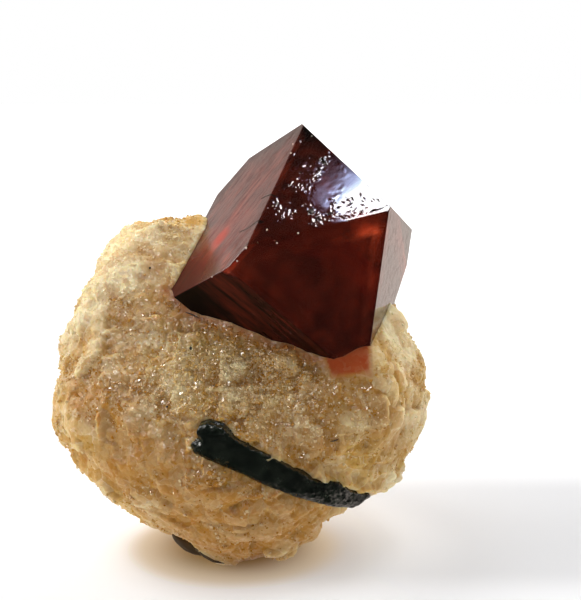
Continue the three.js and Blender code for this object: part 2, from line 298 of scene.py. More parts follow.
# Pale crumbs of calcite on the crystal's edges: (place, radius)
CRUMBS = [
    ((2.31, -7.84, 25.54), 0.05), ((2.69, -6.10, 26.96), 0.05), ((3.00, -8.75, 24.79), 0.06),
    ((4.41, -8.03, 25.36), 0.06), ((4.08, -1.22, 30.93), 0.05), ((3.94, -1.96, 30.32), 0.05),
    ((2.35, -6.25, 26.84), 0.04), ((0.94, -9.12, 24.51), 0.07), ((0.33, -9.05, 23.62), 0.06),
    ((-1.33, -9.44, 22.61), 0.04), ((-3.63, -0.90, 22.83), 0.14), ((-4.50, -4.80, 20.05), 0.07),
    ((1.70, -8.60, 24.80), 0.04), ((5.48, -0.54, 31.47), 0.04),
]

# Rough patches of the etched face, in millimetres along its lower edge and up it:
# (x, y, half length, half width, degrees turned, height, fleck size, how long its flecks are)
PATCHES = [
    (6.82, 8.50, 0.30, 0.08, 60, 0.020, 0.12, 2.0), (5.97, 7.50, 0.30, 0.09, 62, 0.024, 0.12, 2.0),
    (6.60, 7.75, 0.10, 0.10, 0, 0.022, 0.12, 1.0), (6.94, 6.66, 0.08, 0.08, 0, 0.018, 0.12, 1.0),
    (6.20, 5.95, 0.24, 0.20, 60, 0.034, 0.16, 1.4), (6.66, 5.72, 0.09, 0.08, 0, 0.018, 0.12, 1.0),
    (5.70, 5.35, 0.14, 0.09, 30, 0.022, 0.12, 1.0), (7.85, 6.20, 0.60, 0.09, 25, 0.026, 0.13, 1.6),
    (8.44, 6.77, 0.14, 0.11, 20, 0.026, 0.13, 1.2), (7.55, 5.60, 0.50, 0.08, 27, 0.024, 0.13, 1.6),
    (6.70, 4.85, 0.80, 0.20, 33, 0.030, 0.15, 1.3), (6.30, 4.30, 0.50, 0.10, 10, 0.026, 0.14, 1.2),
    (5.24, 4.74, 0.42, 0.20, 20, 0.042, 0.20, 1.2), (5.40, 3.85, 0.36, 0.50, 55, 0.026, 0.12, 2.0),
    (3.85, 4.20, 0.65, 0.05, 3, 0.022, 0.12, 2.0), (4.50, 4.42, 0.40, 0.07, 30, 0.024, 0.12, 1.6),
    (3.08, 2.60, 0.95, 0.19, 80, 0.044, 0.17, 1.6), (3.30, 1.50, 0.55, 0.19, -10, 0.044, 0.17, 1.5),
    (3.50, 2.05, 0.40, 0.42, 40, 0.026, 0.13, 1.7), (3.90, 2.90, 0.22, 0.11, -40, 0.032, 0.15, 1.4),
    (4.06, 1.92, 0.26, 0.11, 20, 0.032, 0.14, 1.5), (5.02, 1.25, 0.95, 0.18, 75, 0.042, 0.15, 1.6),
    (5.10, 0.32, 0.55, 0.18, 5, 0.044, 0.18, 1.3), (5.30, 0.95, 0.34, 0.36, 60, 0.026, 0.13, 1.7),
    (4.92, 2.31, 0.13, 0.08, 10, 0.024, 0.12, 1.2), (2.46, 2.99, 0.09, 0.08, 0, 0.022, 0.12, 1.0),
    (2.06, 2.39, 0.09, 0.08, 0, 0.022, 0.12, 1.0), (1.69, 0.95, 0.09, 0.08, 0, 0.022, 0.12, 1.0),
    (1.30, 1.62, 0.09, 0.08, 0, 0.022, 0.12, 1.0), (2.36, 1.71, 0.10, 0.08, 0, 0.022, 0.12, 1.0),
    (6.45, 1.15, 0.65, 0.12, 60, 0.034, 0.15, 1.7), (6.75, 0.60, 0.50, 0.12, 150, 0.034, 0.14, 1.7),
    (6.10, 0.60, 0.50, 0.16, 20, 0.032, 0.15, 1.6), (7.60, 3.80, 1.50, 0.90, 27, 0.002, 0.30, 1.7),
    (8.60, 4.80, 0.80, 0.45, 70, 0.004, 0.24, 2.0), (7.20, 2.60, 0.90, 0.40, 40, 0.003, 0.24, 1.6),
]
FLECK_SHARE = 0.88                      # how much of a patch's height is its flecks

# Short scratches by the etched face's right end: how many, and where they lie on it
SCRATCHES = 42
SCRATCH_START = (6.9, 0.15)
SCRATCH_SPAN = (3.4, 1.9)
SCRATCH_TURNS = [0.3, 1.1, 1.9, 2.6]
SCRATCH_DEPTH = 0.009
SCRATCH_WIDTH = 0.04


# ---------------------------------------------------------------- arrays and repeatable noise

def unit(vectors):
    """Vectors scaled to length 1."""
    return vectors / np.linalg.norm(vectors, axis=-1, keepdims=True)


def eased(share):
    """A share from 0 to 1 with level ends, s*s*(3 - 2s)."""
    return share * share * (3 - 2 * share)


def turned(x, y, turn):
    """Lengths along and across a direction that is turned from x by an angle."""
    cosine, sine = math.cos(turn), math.sin(turn)
    return x * cosine + y * sine, y * cosine - x * sine


def along_line(line, share):
    """Points at shares of the way along a line of places."""
    line = np.array(line)
    knots = np.linspace(0, 1, len(line))
    return np.stack([np.interp(share, knots, line[:, k]) for k in range(3)], axis=-1)


def spotted(points, spots):
    """Sum of bells, strength * exp(-(distance / radius)^2), at listed places."""
    total = np.zeros(len(points))
    for place, radius, strength in spots:
        total += strength * np.exp(-(np.linalg.norm(points - place, axis=1) / radius) ** 2)
    return total


def cell_numbers(cells, seed):
    """Numbers from 0 to 1 that depend only on a whole-number cell and a seed."""
    mixed = cells.astype(np.int64) @ np.array([73856093, 19349663, 83492791]) + 40503 * (seed + 1)
    mixed = ((mixed ^ (mixed >> 13)) * 1274126177) & 0xFFFFFFFF
    mixed = ((mixed ^ (mixed >> 16)) * 2246822519) & 0xFFFFFFFF
    return (mixed ^ (mixed >> 15)) / 0xFFFFFFFF


def soft_noise(points, size, seed):
    """Smooth noise from -1 to 1: the numbers at a cell's corners, blended by eased shares."""
    scaled = points / size
    cell = np.floor(scaled)
    share = eased(scaled - cell)
    total = 0
    for corner in itertools.product((0, 1), repeat=3):
        weight = np.prod(np.where(corner, share, 1 - share), axis=-1)
        total = total + weight * cell_numbers(cell + corner, seed)
    return 2 * total - 1


def layered_noise(points, size, seed, layers=3):
    """Sum of soft noise, each layer with half the size and half the height of the last."""
    return sum(soft_noise(points, size / 2 ** n, seed + n) / 2 ** n for n in range(layers))


def grain_relief(points, relief, seed):
    """Relief of packed grains: the highest of many tilted domes, one for each seed point, each
    rise + tilt . offset - doming * offset^2 times the height."""
    size, tall, tilt, doming = relief
    scaled = points / size
    cell = np.floor(scaled)
    highest = np.full(points.shape[:-1], -9.0)
    for step in itertools.product((-1, 0, 1), repeat=3):
        near = cell + step
        seat = near + np.stack([cell_numbers(near, seed + k) for k in range(3)], axis=-1)
        lean = np.stack([cell_numbers(near, seed + k) for k in range(3, 6)], axis=-1) - 0.5
        offset = scaled - seat
        rise = 0.5 * cell_numbers(near, seed + 6)
        height = rise + 2 * tilt * (lean * offset).sum(-1) - doming * (offset * offset).sum(-1)
        highest = np.maximum(highest, height)
    return tall * (highest - highest.mean())


# ---------------------------------------------------------------- meshes

def make_piece(name, points, faces, smooth=True):
    """A mesh object at the origin from points in millimetres and faces of point numbers."""
    mesh = bpy.data.meshes.new(name)
    mesh.from_pydata((np.asarray(points) * MM).tolist(), [], [list(face) for face in faces])
    mesh.polygons.foreach_set("use_smooth", np.full(len(mesh.polygons), smooth))
    mesh.update()
    piece = bpy.data.objects.new(name, mesh)
    bpy.context.scene.collection.objects.link(piece)
    return piece


def mesh_points(mesh):
    """A mesh's points in millimetres."""
    values = np.empty(len(mesh.vertices) * 3)
    mesh.vertices.foreach_get("co", values)
    return values.reshape(-1, 3) / MM


def cut_away(piece, cutters):
    """Take closed cutters out of a closed piece, and leave the result as its mesh."""
    for cutter in cutters:
        modifier = piece.modifiers.new("cut", "BOOLEAN")
        modifier.operation = "DIFFERENCE"
        modifier.solver = "MANIFOLD"
        modifier.object = cutter
    graph = bpy.context.evaluated_depsgraph_get()
    finished = bpy.data.meshes.new_from_object(piece.evaluated_get(graph))
    piece.modifiers.clear()
    piece.data = finished
    for cutter in cutters:
        bpy.data.objects.remove(cutter)


def grid_quads(numbers):
    """Quads between neighbouring point numbers of one grid or of several."""
    quads = [numbers[..., :-1, :-1], numbers[..., 1:, :-1], numbers[..., 1:, 1:], numbers[..., :-1, 1:]]
    return np.stack(quads, axis=-1).reshape(-1, 4)


def ball_grid(count):
    """Directions and quads of a ball: on each side of a cube, the point (tan a, tan b, 1) for two
    angles a and b from -45 to 45 degrees, scaled to length 1, with the six sides welded."""
    tangent = np.tan(np.linspace(-math.pi / 4, math.pi / 4, count + 1))
    first, second = np.meshgrid(tangent, tangent, indexing="ij")
    sides = []
    for axis, sign in itertools.product(range(3), (-1, 1)):
        side = np.empty(first.shape + (3,))
        side[..., axis] = sign
        side[..., (axis + 1) % 3] = first if sign > 0 else second
        side[..., (axis + 2) % 3] = second if sign > 0 else first
        sides.append(side.reshape(-1, 3))
    directions = unit(np.concatenate(sides))
    _, kept, number = np.unique(directions.round(7), axis=0, return_index=True, return_inverse=True)
    return directions[kept], grid_quads(number.reshape(6, count + 1, count + 1))


def tube_grid(rings):
    """Faces of a tube whose points are rings[station, side], with a fan on each end; the two
    end middles follow the ring points."""
    stations, sides = rings.shape[:2]
    numbers = np.arange(stations * sides).reshape(stations, sides)
    numbers = np.hstack([numbers, numbers[:, :1]])
    first = np.full(sides, stations * sides)
    start = np.stack([first, numbers[0, :-1], numbers[0, 1:]], axis=-1)
    end = np.stack([first + 1, numbers[-1, 1:], numbers[-1, :-1]], axis=-1)
    return grid_quads(numbers).tolist() + start.tolist() + end.tolist()


def spindle(path, radius, sides=8, stations=18):
    """A thin closed rod along a line of places, its radius falling to a point at both ends as
    the root of sin(pi t). Returns points and faces."""
    share = np.linspace(0, 1, stations)
    place = along_line(path, share)
    along = unit(np.gradient(place, axis=0))
    aside = unit(np.cross(along, FRONT))
    turn = np.linspace(0, 2 * math.pi, sides, endpoint=False)[:, None]
    girth = radius * np.sqrt(np.maximum(np.sin(math.pi * share), 0.02))
    around = np.cos(turn) * aside[:, None] + np.sin(turn) * np.cross(aside, along)[:, None]
    rings = place[:, None] + girth[:, None, None] * around
    return np.concatenate([rings.reshape(-1, 3), place[[0, -1]]]), tube_grid(rings)


def rough_balls(spots, divisions, size, height, spacing, seed):
    """Points and faces of a small ball at each (place, radius), roughened by noise of a size and
    height that is drawn a spacing further on for each ball."""
    directions, quads = ball_grid(divisions)
    balls = []
    for number, (place, radius) in enumerate(spots):
        rough = 1 + height * soft_noise(directions + spacing * number, size, seed)
        balls.append((np.array(place) + directions * (radius * rough)[:, None], quads.tolist()))
    return balls


def joined_piece(name, parts):
    """One piece from several (points, faces)."""
    points, faces, start = [], [], 0
    for part_points, part_faces in parts:
        points.append(part_points)
        faces += [[number + start for number in face] for face in part_faces]
        start += len(part_points)
    return make_piece(name, np.concatenate(points), faces)


def store(piece, name, values):
    """Keep one number for each point of a piece, for its material to read."""
    attribute = piece.data.attributes.new(name, "FLOAT", "POINT")
    attribute.data.foreach_set("value", values.astype(np.float32))


def thicken(piece, thickness, offset):
    """Give a sheet a thickness in millimetres: behind it with offset -1, evenly with 0."""
    modifier = piece.modifiers.new("thickness", "SOLIDIFY")
    modifier.thickness = thickness * MM
    modifier.offset = offset


# ---------------------------------------------------------------- zircon

def zircon_planes(allowance=0.0):
    """Unit normals and distances from the frame's origin of the crystal's faces."""
    indices = np.array(list(ZIRCON_FACES), dtype=float)
    indices[:, 2] /= AXIAL_RATIO
    normals = unit(indices @ np.stack([SIDE_AXIS_A, SIDE_AXIS_B, LONG_AXIS]))
    return normals, np.array(list(ZIRCON_FACES.values())) + allowance + normals @ ZIRCON_CENTRE


def crystal_shape(normals, distances):
    """Corners and faces of the convex solid inside some planes. Each corner is where three planes
    meet inside all the others, and a face's corners go round its normal by angle."""
    triples = np.array(list(itertools.combinations(range(len(normals)), 3)))
    triples = triples[abs(np.linalg.det(normals[triples])) > 1e-6]
    meets = np.linalg.solve(normals[triples], distances[triples][..., None])[..., 0]
    inside = (meets @ normals.T <= distances + 1e-6).all(axis=1)
    _, kept = np.unique(meets[inside].round(5), axis=0, return_index=True)
    corners = meets[inside][kept]
    faces = []
    for normal, distance in zip(normals, distances):
        ring = np.flatnonzero(abs(corners @ normal - distance) < 1e-5)
        offset = corners[ring] - corners[ring].mean(axis=0)
        across = unit(offset[0])
        along = np.cross(normal, across)
        faces.append(ring[np.argsort(np.arctan2(offset @ along, offset @ across))])
    return corners, faces


def zircon_distance(points):
    """Distance outside the crystal's nearest face plane, negative inside."""
    normals, distances = zircon_planes()
    return (points @ normals.T - distances).max(axis=-1)


def zircon_solid(name, allowance=0.0):
    """The crystal's plain faces, moved out by an allowance."""
    corners, faces = crystal_shape(*zircon_planes(allowance))
    return make_piece(name, corners, faces, smooth=False)


def etched_relief(x, y):
    """Height of the etched pyramid face at x along its lower edge and y up it: rough patches,
    each a bell times stretched noise, with low ripples over the middle, pits near the lower edge
    and slow waves, less the scratches."""
    height = np.zeros(x.shape)
    for number, (place_x, place_y, length, width, turn, rise, fleck, stretch) in enumerate(PATCHES):
        along, aside = turned(x - place_x, y - place_y, math.radians(turn))
        reach = (along / length) ** 2 + (aside / width) ** 2
        near = np.flatnonzero(reach < 6)
        flecks = np.stack([along[near] / stretch, aside[near], 0.7 + number + 0 * near], axis=-1)
        texture = soft_noise(flecks, fleck, 81)
        height[near] += rise * np.exp(-reach[near]) * (1 - FLECK_SHARE + FLECK_SHARE * texture)
    along, aside = turned(x, y, RIPPLE_TURN)
    stretched = np.stack([along / 3, aside, 0 * x], axis=-1)
    ripples = np.maximum(layered_noise(stretched, 0.36, 82) - 0.45, 0)
    middle = np.exp(-((y - 3.2 - 0.35 * x) / 2.0) ** 2) * np.exp(-((x - 5.4) / 1.6) ** 2)
    height += RIPPLE_HEIGHT * ripples * middle
    flat_points = np.stack([x, y, 0 * x], axis=-1)
    pitted = np.clip(1.6 - y + 0.5 * soft_noise(flat_points, 1.5, 83), 0, 1)
    pitted *= np.clip((6.6 - x) / 0.8, 0, 1)
    height += PIT_HEIGHT * pitted * layered_noise(flat_points, 0.30, 84, 2)
    height += WAVE_HEIGHT * soft_noise(flat_points, 1.3, 86)
    return height - scratches(x, y)


def scratches(x, y):
    """Depth of many short thin scratches, each a bell across a slightly bent line, at seeded
    places and turns. They lie close together along the lower edge and thin out up the face."""
    random = np.random.default_rng(87)
    depth = np.zeros(x.shape)
    for _ in range(SCRATCHES):
        place_x = SCRATCH_START[0] + SCRATCH_SPAN[0] * random.random()
        place_y = SCRATCH_START[1] + SCRATCH_SPAN[1] * random.random() ** 2
        turn = random.choice(SCRATCH_TURNS) + 0.25 * random.normal()
        length = 0.06 + 0.18 * random.random() ** 2
        along, aside = turned(x - place_x, y - place_y, turn)
        bend = (aside - 0.4 * along ** 2) / SCRATCH_WIDTH
        depth = np.maximum(depth, SCRATCH_DEPTH * np.exp(-(along / length) ** 2 - bend ** 2))
    return depth


def etched_face(corners, normal, divisions):
    """The inside of a face as a fine relief: for each side, middle + u (corner - middle) +
    v (next corner - middle) with u + v up to 1, raised by the relief and level at the rim.
    Returns points, triangles and the point numbers round the rim, starting at each corner."""
    middle = corners.mean(axis=0)
    step = np.arange(divisions + 1)
    u, v = (grid.ravel() for grid in np.meshgrid(step, step, indexing="ij"))
    kept = u + v <= divisions
    u, v = u[kept], v[kept]
    number = np.full((divisions + 2, divisions + 2), -1)
    number[u, v] = np.arange(len(u))
    lower = np.stack([number[u, v], number[u + 1, v], number[u, v + 1]], axis=-1)
    upper = np.stack([number[u + 1, v], number[u + 1, v + 1], number[u, v + 1]], axis=-1)
    pattern = np.concatenate([lower[(lower >= 0).all(axis=1)], upper[(upper >= 0).all(axis=1)]])
    points, triangles, rims = [], [], []
    for n, corner in enumerate(corners):
        following = corners[(n + 1) % len(corners)]
        outward = np.outer(u, corner - middle) + np.outer(v, following - middle)
        points.append(middle + outward / divisions)
        triangles.append(pattern + n * len(u))
        rims.append(number[divisions - step[:-1], step[:-1]] + n * len(u))
    points, triangles, rims = np.concatenate(points), np.concatenate(triangles), np.concatenate(rims)
    _, first, welded = np.unique(points.round(6), axis=0, return_index=True, return_inverse=True)
    welded = welded.ravel()
    points, triangles, rims = points[first], welded[triangles], welded[rims]
    inward = np.cross(normal, unit(np.roll(corners, -1, axis=0) - corners))
    margin = (points @ inward.T - (corners * inward).sum(axis=1)).min(axis=1)
    raised = eased(np.clip(margin / ETCHED_FADE, 0, 1))
    across = unit(ETCHED_RIGHT - ETCHED_LEFT)
    offset = points - ETCHED_LEFT
    relief = etched_relief(offset @ across, offset @ np.cross(normal, across))
    return points + np.outer(relief * raised, normal), triangles, rims


def zircon_crystal():
    """The crystal's faces, with the etched one set in a narrow rim of plain faces."""
    normals, distances = zircon_planes()
    corners, faces = crystal_shape(normals, distances)
    etched = list(ZIRCON_FACES).index(ETCHED_FACE)
    ring = faces.pop(etched)
    middle = corners[ring].mean(axis=0)
    inner = middle + (corners[ring] - middle) * ETCHED_SHARE
    points, triangles, rims = etched_face(inner, normals[etched], ETCHED_DIVISIONS)
    rims = rims + len(corners)
    sides = rims.reshape(len(ring), -1)
    plain = [face.tolist() for face in faces]
    for n, side in enumerate(sides):
        following = (n + 1) % len(ring)
        plain.append([ring[n], ring[following], sides[following][0]] + side[::-1].tolist())
    crystal = make_piece("zircon", np.concatenate([corners, points]),
                         plain + (triangles + len(corners)).tolist(), smooth=False)
    flags = np.zeros(len(crystal.data.polygons), dtype=bool)
    flags[len(plain):] = True
    crystal.data.polygons.foreach_set("use_smooth", flags)
    bevel = crystal.modifiers.new("worn edges", "BEVEL")
    bevel.width = WORN_EDGE * MM
    bevel.segments = 2
    bevel.limit_method = "ANGLE"
    bevel.angle_limit = WORN_ANGLE
    bevel.use_clamp_overlap = False
    return crystal


def veil_sheet(index, depth, seed):
    """A wavy sheet across the crystal, parallel to a face and at a depth under it. At each angle
    it reaches from its middle to a margin short of the nearest face, and it is
    middle + share * reach * direction + fade * waves along the normal, with a fade of
    1 - share^4. Returns its grid of points and their fade."""
    normals, distances = zircon_planes()
    corners, faces = crystal_shape(normals, distances)
    number = list(ZIRCON_FACES).index(index)
    normal = normals[number]
    middle = corners[faces[number]].mean(axis=0) - depth * normal
    across = unit(np.cross(normal, UP))
    steps = np.linspace(-1, 1, VEIL_STEPS)
    u, v = np.meshgrid(steps, steps, indexing="ij")
    share = np.maximum(abs(u), abs(v))
    angle = np.arctan2(v, u)
    outward = np.cos(angle)[..., None] * across + np.sin(angle)[..., None] * np.cross(normal, across)
    slope = outward @ normals.T
    room = distances - VEIL_MARGIN - normals @ middle
    reach = np.where(slope > 1e-3, room / np.maximum(slope, 1e-3), FAR).min(axis=-1)
    points = middle + (share * reach)[..., None] * outward
    waves = min(VEIL_WAVES, depth / 2.5) * soft_noise(points, 2.6, seed)
    waves += VEIL_RIPPLES * soft_noise(points, 0.8, seed + 1)
    fade = 1 - share ** 4
    return points + (waves * fade)[..., None] * normal, fade


def zircon_veils():
    """All the veil sheets as one piece, each point with its glow, its fading and its streaks."""
    sheets, glows, streaks, fades = [], [], [], []
    for n, (index, depth, glow, streak) in enumerate(VEILS):
        sheet, fade = veil_sheet(index, depth, 100 + 3 * n)
        sheets.append(sheet)
        glows.append(np.full(fade.size, glow))
        streaks.append(np.full(fade.size, streak))
        fades.append(fade.ravel())
    sheets = np.stack(sheets)
    points = sheets.reshape(-1, 3)
    numbers = np.arange(len(points)).reshape(sheets.shape[:3])
    veils = make_piece("zircon_veils", points, grid_quads(numbers))
    glow = np.concatenate(glows) + spotted(points, GLOWS)
    store(veils, "glow", np.clip(glow, 0, GLOW_LIMIT))
    store(veils, "fade", np.concatenate(fades))
    store(veils, "streaks", np.concatenate(streaks))
    thicken(veils, VEIL_THICKNESS, -1)
    return veils


def zircon_cracks():
    """Thin dark blades under the left prism face, each running in from a line of places on it:
    place - share of depth * normal, with a depth that falls along the line."""
    normal = -unit(SIDE_AXIS_A)
    parts = []
    for line in CRACKS:
        share = np.linspace(0, 1, 24)
        top = along_line(line, share)
        top = top + CRACK_RISE * normal + 0.02 * soft_noise(top, 0.2, 121)[:, None] * UP
        down = np.linspace(0, 1, 5)[None, :, None]
        depth = (CRACK_DEPTH * (1 - share) + CRACK_LEAST_DEPTH)[:, None, None]
        sheet = top[:, None] - down * depth * normal
        numbers = np.arange(sheet[..., 0].size).reshape(sheet.shape[:2])
        parts.append((sheet.reshape(-1, 3), grid_quads(numbers).tolist()))
    cracks = joined_piece("zircon_cracks", parts)
    thicken(cracks, CRACK_THICKNESS, 0)
    return cracks


# ---------------------------------------------------------------- matrix

def outline_radius(angle, width):
    """Outline radius at an angle: the listed radii averaged with weights exp(-(angle / width)^2)."""
    away = (angle[:, None] - OUTLINE[:, 0] + 180) % 360 - 180
    weights = np.exp(-(away / width) ** 2)
    return (weights * OUTLINE[:, 1]).sum(axis=1) / weights.sum(axis=1)


def soft_minimum(first, second, softness):
    """The smaller of two lengths, rounded over where they cross."""
    share = np.clip(0.5 + 0.5 * (second - first) / softness, 0, 1)
    return second * (1 - share) + first * share - softness * share * (1 - share)


def direction_from_front(round_angle, away):
    """The direction at an angle round the front axis and an angle away from it, in degrees."""
    turn, lean = math.radians(round_angle), math.radians(away)
    sideways = math.cos(turn) * RIGHTWARD + math.sin(turn) * UPWARD
    return math.cos(lean) * FRONT + math.sin(lean) * sideways


def matrix_radius(directions):
    """Radius of the lump in each direction: an egg whose outline follows the list, flattened by
    the broken face, with bell-shaped swellings added."""
    forward = directions @ FRONT
    angle = np.degrees(np.arctan2(directions @ UPWARD, directions @ RIGHTWARD))
    broad = outline_radius(angle, BROAD_WIDTH)
    rim = broad + (outline_radius(angle, FINE_WIDTH) - broad) * np.exp(-(forward / RIM_BAND) ** 2)
    depth = np.where(forward > 0, FRONT_DEPTH, BACK_DEPTH)
    radius = 1 / np.sqrt((1 - forward ** 2) / rim ** 2 + (forward / depth) ** 2)
    facing = directions @ unit(BROKEN_FACE_NORMAL)
    broken = BROKEN_FACE_DISTANCE / np.maximum(facing, 0.05)
    radius = np.where(facing > 0.05, soft_minimum(radius, broken, BROKEN_FACE_SOFTNESS), radius)
    for round_angle, away, height, width in SWELLINGS:
        nearness = np.clip(directions @ direction_from_front(round_angle, away), -1, 1)
        radius = radius + height * np.exp(-(np.degrees(np.arccos(nearness)) / width) ** 2)
    return radius


def sugary_share(points):
    """Where the calcite is fine and sparkling: 1 in the middle band, less towards the rim, and
    low below the blade, where it is waxy and smooth."""
    middle = np.exp(-(((points - SUGARY_PLACE) / SUGARY_REACH) ** 2).sum(axis=-1))
    high = np.clip((points[..., 2] - 8) / 8, 0, 1)
    patches = np.clip(0.5 + 0.8 * soft_noise(points, 3.0, 31), 0, 1)
    return np.clip(middle + 0.45 * high * patches, 0, 1)


def matrix_relief(points):
    """Relief over the lump in millimetres: rounded lumps, blocky knobs and small crystal grains.
    Returns the relief, and the height of crests over hollows that the tones follow."""
    drift = np.stack([soft_noise(points, 1.6, 50 + k) for k in range(3)], axis=-1)
    lumps = grain_relief(points + 0.5 * drift, CALCITE_LUMPS, 1)
    knobs = grain_relief(points + 0.25 * drift, CALCITE_KNOBS, 11)
    grains = grain_relief(points, CALCITE_CRYSTALS, 21)
    fineness = 0.5 + 0.55 * sugary_share(points)
    outside = np.maximum(zircon_distance(points), 0)
    calm = 1 - 0.6 * np.exp(-(outside / 0.4) ** 2)
    relief = lumps + calm * (knobs + grains * fineness)
    return relief, 0.8 * lumps + 0.9 * knobs + 0.8 * grains


def blade_lip(points):
    """Height of the ragged lip of calcite that stands over the blade's upper edge, a ridge
    along a line just above it broken up by noise, less a trough along its lower edge."""
    share = np.linspace(0, 1, 50)
    path, along = blade_curve(share)
    nearest = np.full(len(points), FAR)
    above = np.zeros(len(points))
    for place, direction in zip(path, along):
        offset = points - place
        distance = np.linalg.norm(offset, axis=1)
        upward = unit(np.cross(place - MATRIX_CENTRE, direction))
        above = np.where(distance < nearest, offset @ upward, above)
        nearest = np.minimum(nearest, distance)
    ragged = LIP_PLACE + 0.24 * soft_noise(points, 0.7, 141) + 0.08 * soft_noise(points, 0.3, 142)
    ridge = np.exp(-((above - ragged) / LIP_WIDTH) ** 2)
    trough = np.exp(-((above + TROUGH_PLACE) / TROUGH_WIDTH) ** 2)
    return (LIP_HEIGHT * ridge - TROUGH_DEPTH * trough) * (nearest < LIP_REACH)


def calcite_matrix():
    """A ball grid, crowded towards the front, carried out to the lump's radius plus its relief,
    level where it stands, with the crystal's socket and the blade's groove cut out."""
    directions, quads = ball_grid(MATRIX_DIVISIONS)
    directions = unit(directions + MATRIX_CROWDING * FRONT)
    radius = matrix_radius(directions)
    relief, _ = matrix_relief(MATRIX_CENTRE + directions * radius[:, None])
    radius = radius + relief
    radius = radius + blade_lip(MATRIX_CENTRE + directions * radius[:, None])
    downward = -directions[:, 2]
    to_floor = np.where(downward > 0.05, MATRIX_CENTRE[2] / np.maximum(downward, 0.05), FAR)
    points = MATRIX_CENTRE + directions * np.minimum(radius, to_floor)[:, None]
    lump = make_piece("matrix", points, quads)
    socket = zircon_solid("zircon socket", CONTACT_GAP)
    groove = dark_blade("blade groove", CONTACT_GAP)
    cut_away(lump, [socket, groove])
    mark_contact(lump)
    mark_zones(lump)
    return lump


def mark_zones(piece):
    """Store how amber, pale, lit and sugary the calcite is at each point. The first three are
    bell-shaped spots, and amber and pale also follow noise, hollows and crests: amber in hollows and
    pale on crests are painted shade and painted light, and lit is where a painted glow is given."""
    points = mesh_points(piece.data)
    directions = unit(points - MATRIX_CENTRE)
    _, crest = matrix_relief(MATRIX_CENTRE + directions * matrix_radius(directions)[:, None])
    tones = [("amber", AMBER_SPOTS, AMBER_HOLLOW_SHADE, 151), ("pale", PALE_SPOTS, PALE_CREST_LIGHT, 161)]
    for name, spots, lean, seed in tones:
        values = TONE_LEVEL + TONE_NOISE * layered_noise(points, TONE_SIZE, seed) + lean * crest
        store(piece, name, np.clip(values + spotted(points, spots), 0, 1))
    store(piece, "lit", np.clip(spotted(points, LIT_SPOTS), 0, 1))
    store(piece, "sugary", sugary_share(points))


def window_share(points):
    """1 in the thin window over the crystal's lower corner: right of a slanted left side, left
    of its right side and above its lower edge, with soft edges, on the front only."""
    across, depth, up = np.moveaxis(points, -1, 0)
    growth = WINDOW_GROWTH + WINDOW_RAGGED * soft_noise(points, 0.5, 171)
    slanted = WINDOW_SIDES[0] + WINDOW_SLANT * np.maximum(WINDOW_HEIGHTS[1] - up, 0)
    left = across - slanted + growth
    lower = up - WINDOW_HEIGHTS[0] + growth
    inside = np.minimum(np.minimum(left, WINDOW_SIDES[1] - across), lower)
    return np.clip(inside / WINDOW_EDGE, 0, 1) * (depth < -4) * (zircon_distance(points) < 1.6)


def mark_contact(piece):
    """Store how close each point is to the crystal, 1 touching it from below and less beside and
    above it; which points line its socket; and which lie in the thin window over its corner."""
    points = mesh_points(piece.data)
    outside = zircon_distance(points)
    below = np.clip((NEAR_TOP - points[:, 2]) / 1.5, 0.2, 1)
    below = below * np.clip(NEAR_RIGHT - points[:, 0], 0.3, 1)
    store(piece, "near_zircon", np.exp(-np.maximum(outside, 0) / NEAR_REACH) * below)
    store(piece, "window", window_share(points))
    store(piece, "socket", outside < 2 * CONTACT_GAP)


def scattered_places(piece, count, random):
    """Points and outward normals spread evenly over a piece: a triangle drawn by its area, then
    a point in it from two random shares."""
    mesh = piece.data
    mesh.calc_loop_triangles()
    numbers = np.empty(len(mesh.loop_triangles) * 3, dtype=np.int32)
    mesh.loop_triangles.foreach_get("vertices", numbers)
    corners = mesh_points(mesh)[numbers].reshape(-1, 3, 3)
    spans = np.cross(corners[:, 1] - corners[:, 0], corners[:, 2] - corners[:, 0])
    areas = np.linalg.norm(spans, axis=1)
    chosen = random.choice(len(areas), count, p=areas / areas.sum())
    first, second = np.sqrt(random.random(count)), random.random(count)
    shares = np.stack([1 - first, first * (1 - second), first * second], axis=-1)
    places = (corners[chosen] * shares[..., None]).sum(axis=1)
    return places, spans[chosen] / areas[chosen, None]


def random_turns(count, random):
    """Rotation matrices from random unit quaternions."""
    w, x, y, z = unit(random.normal(size=(4, count)).T).T
    rows = [
        [1 - 2 * (y * y + z * z), 2 * (x * y - w * z), 2 * (x * z + w * y)],
        [2 * (x * y + w * z), 1 - 2 * (x * x + z * z), 2 * (y * z - w * x)],
        [2 * (x * z - w * y), 2 * (y * z + w * x), 1 - 2 * (x * x + y * y)],
    ]
    return np.moveaxis(np.array(rows), 2, 0)


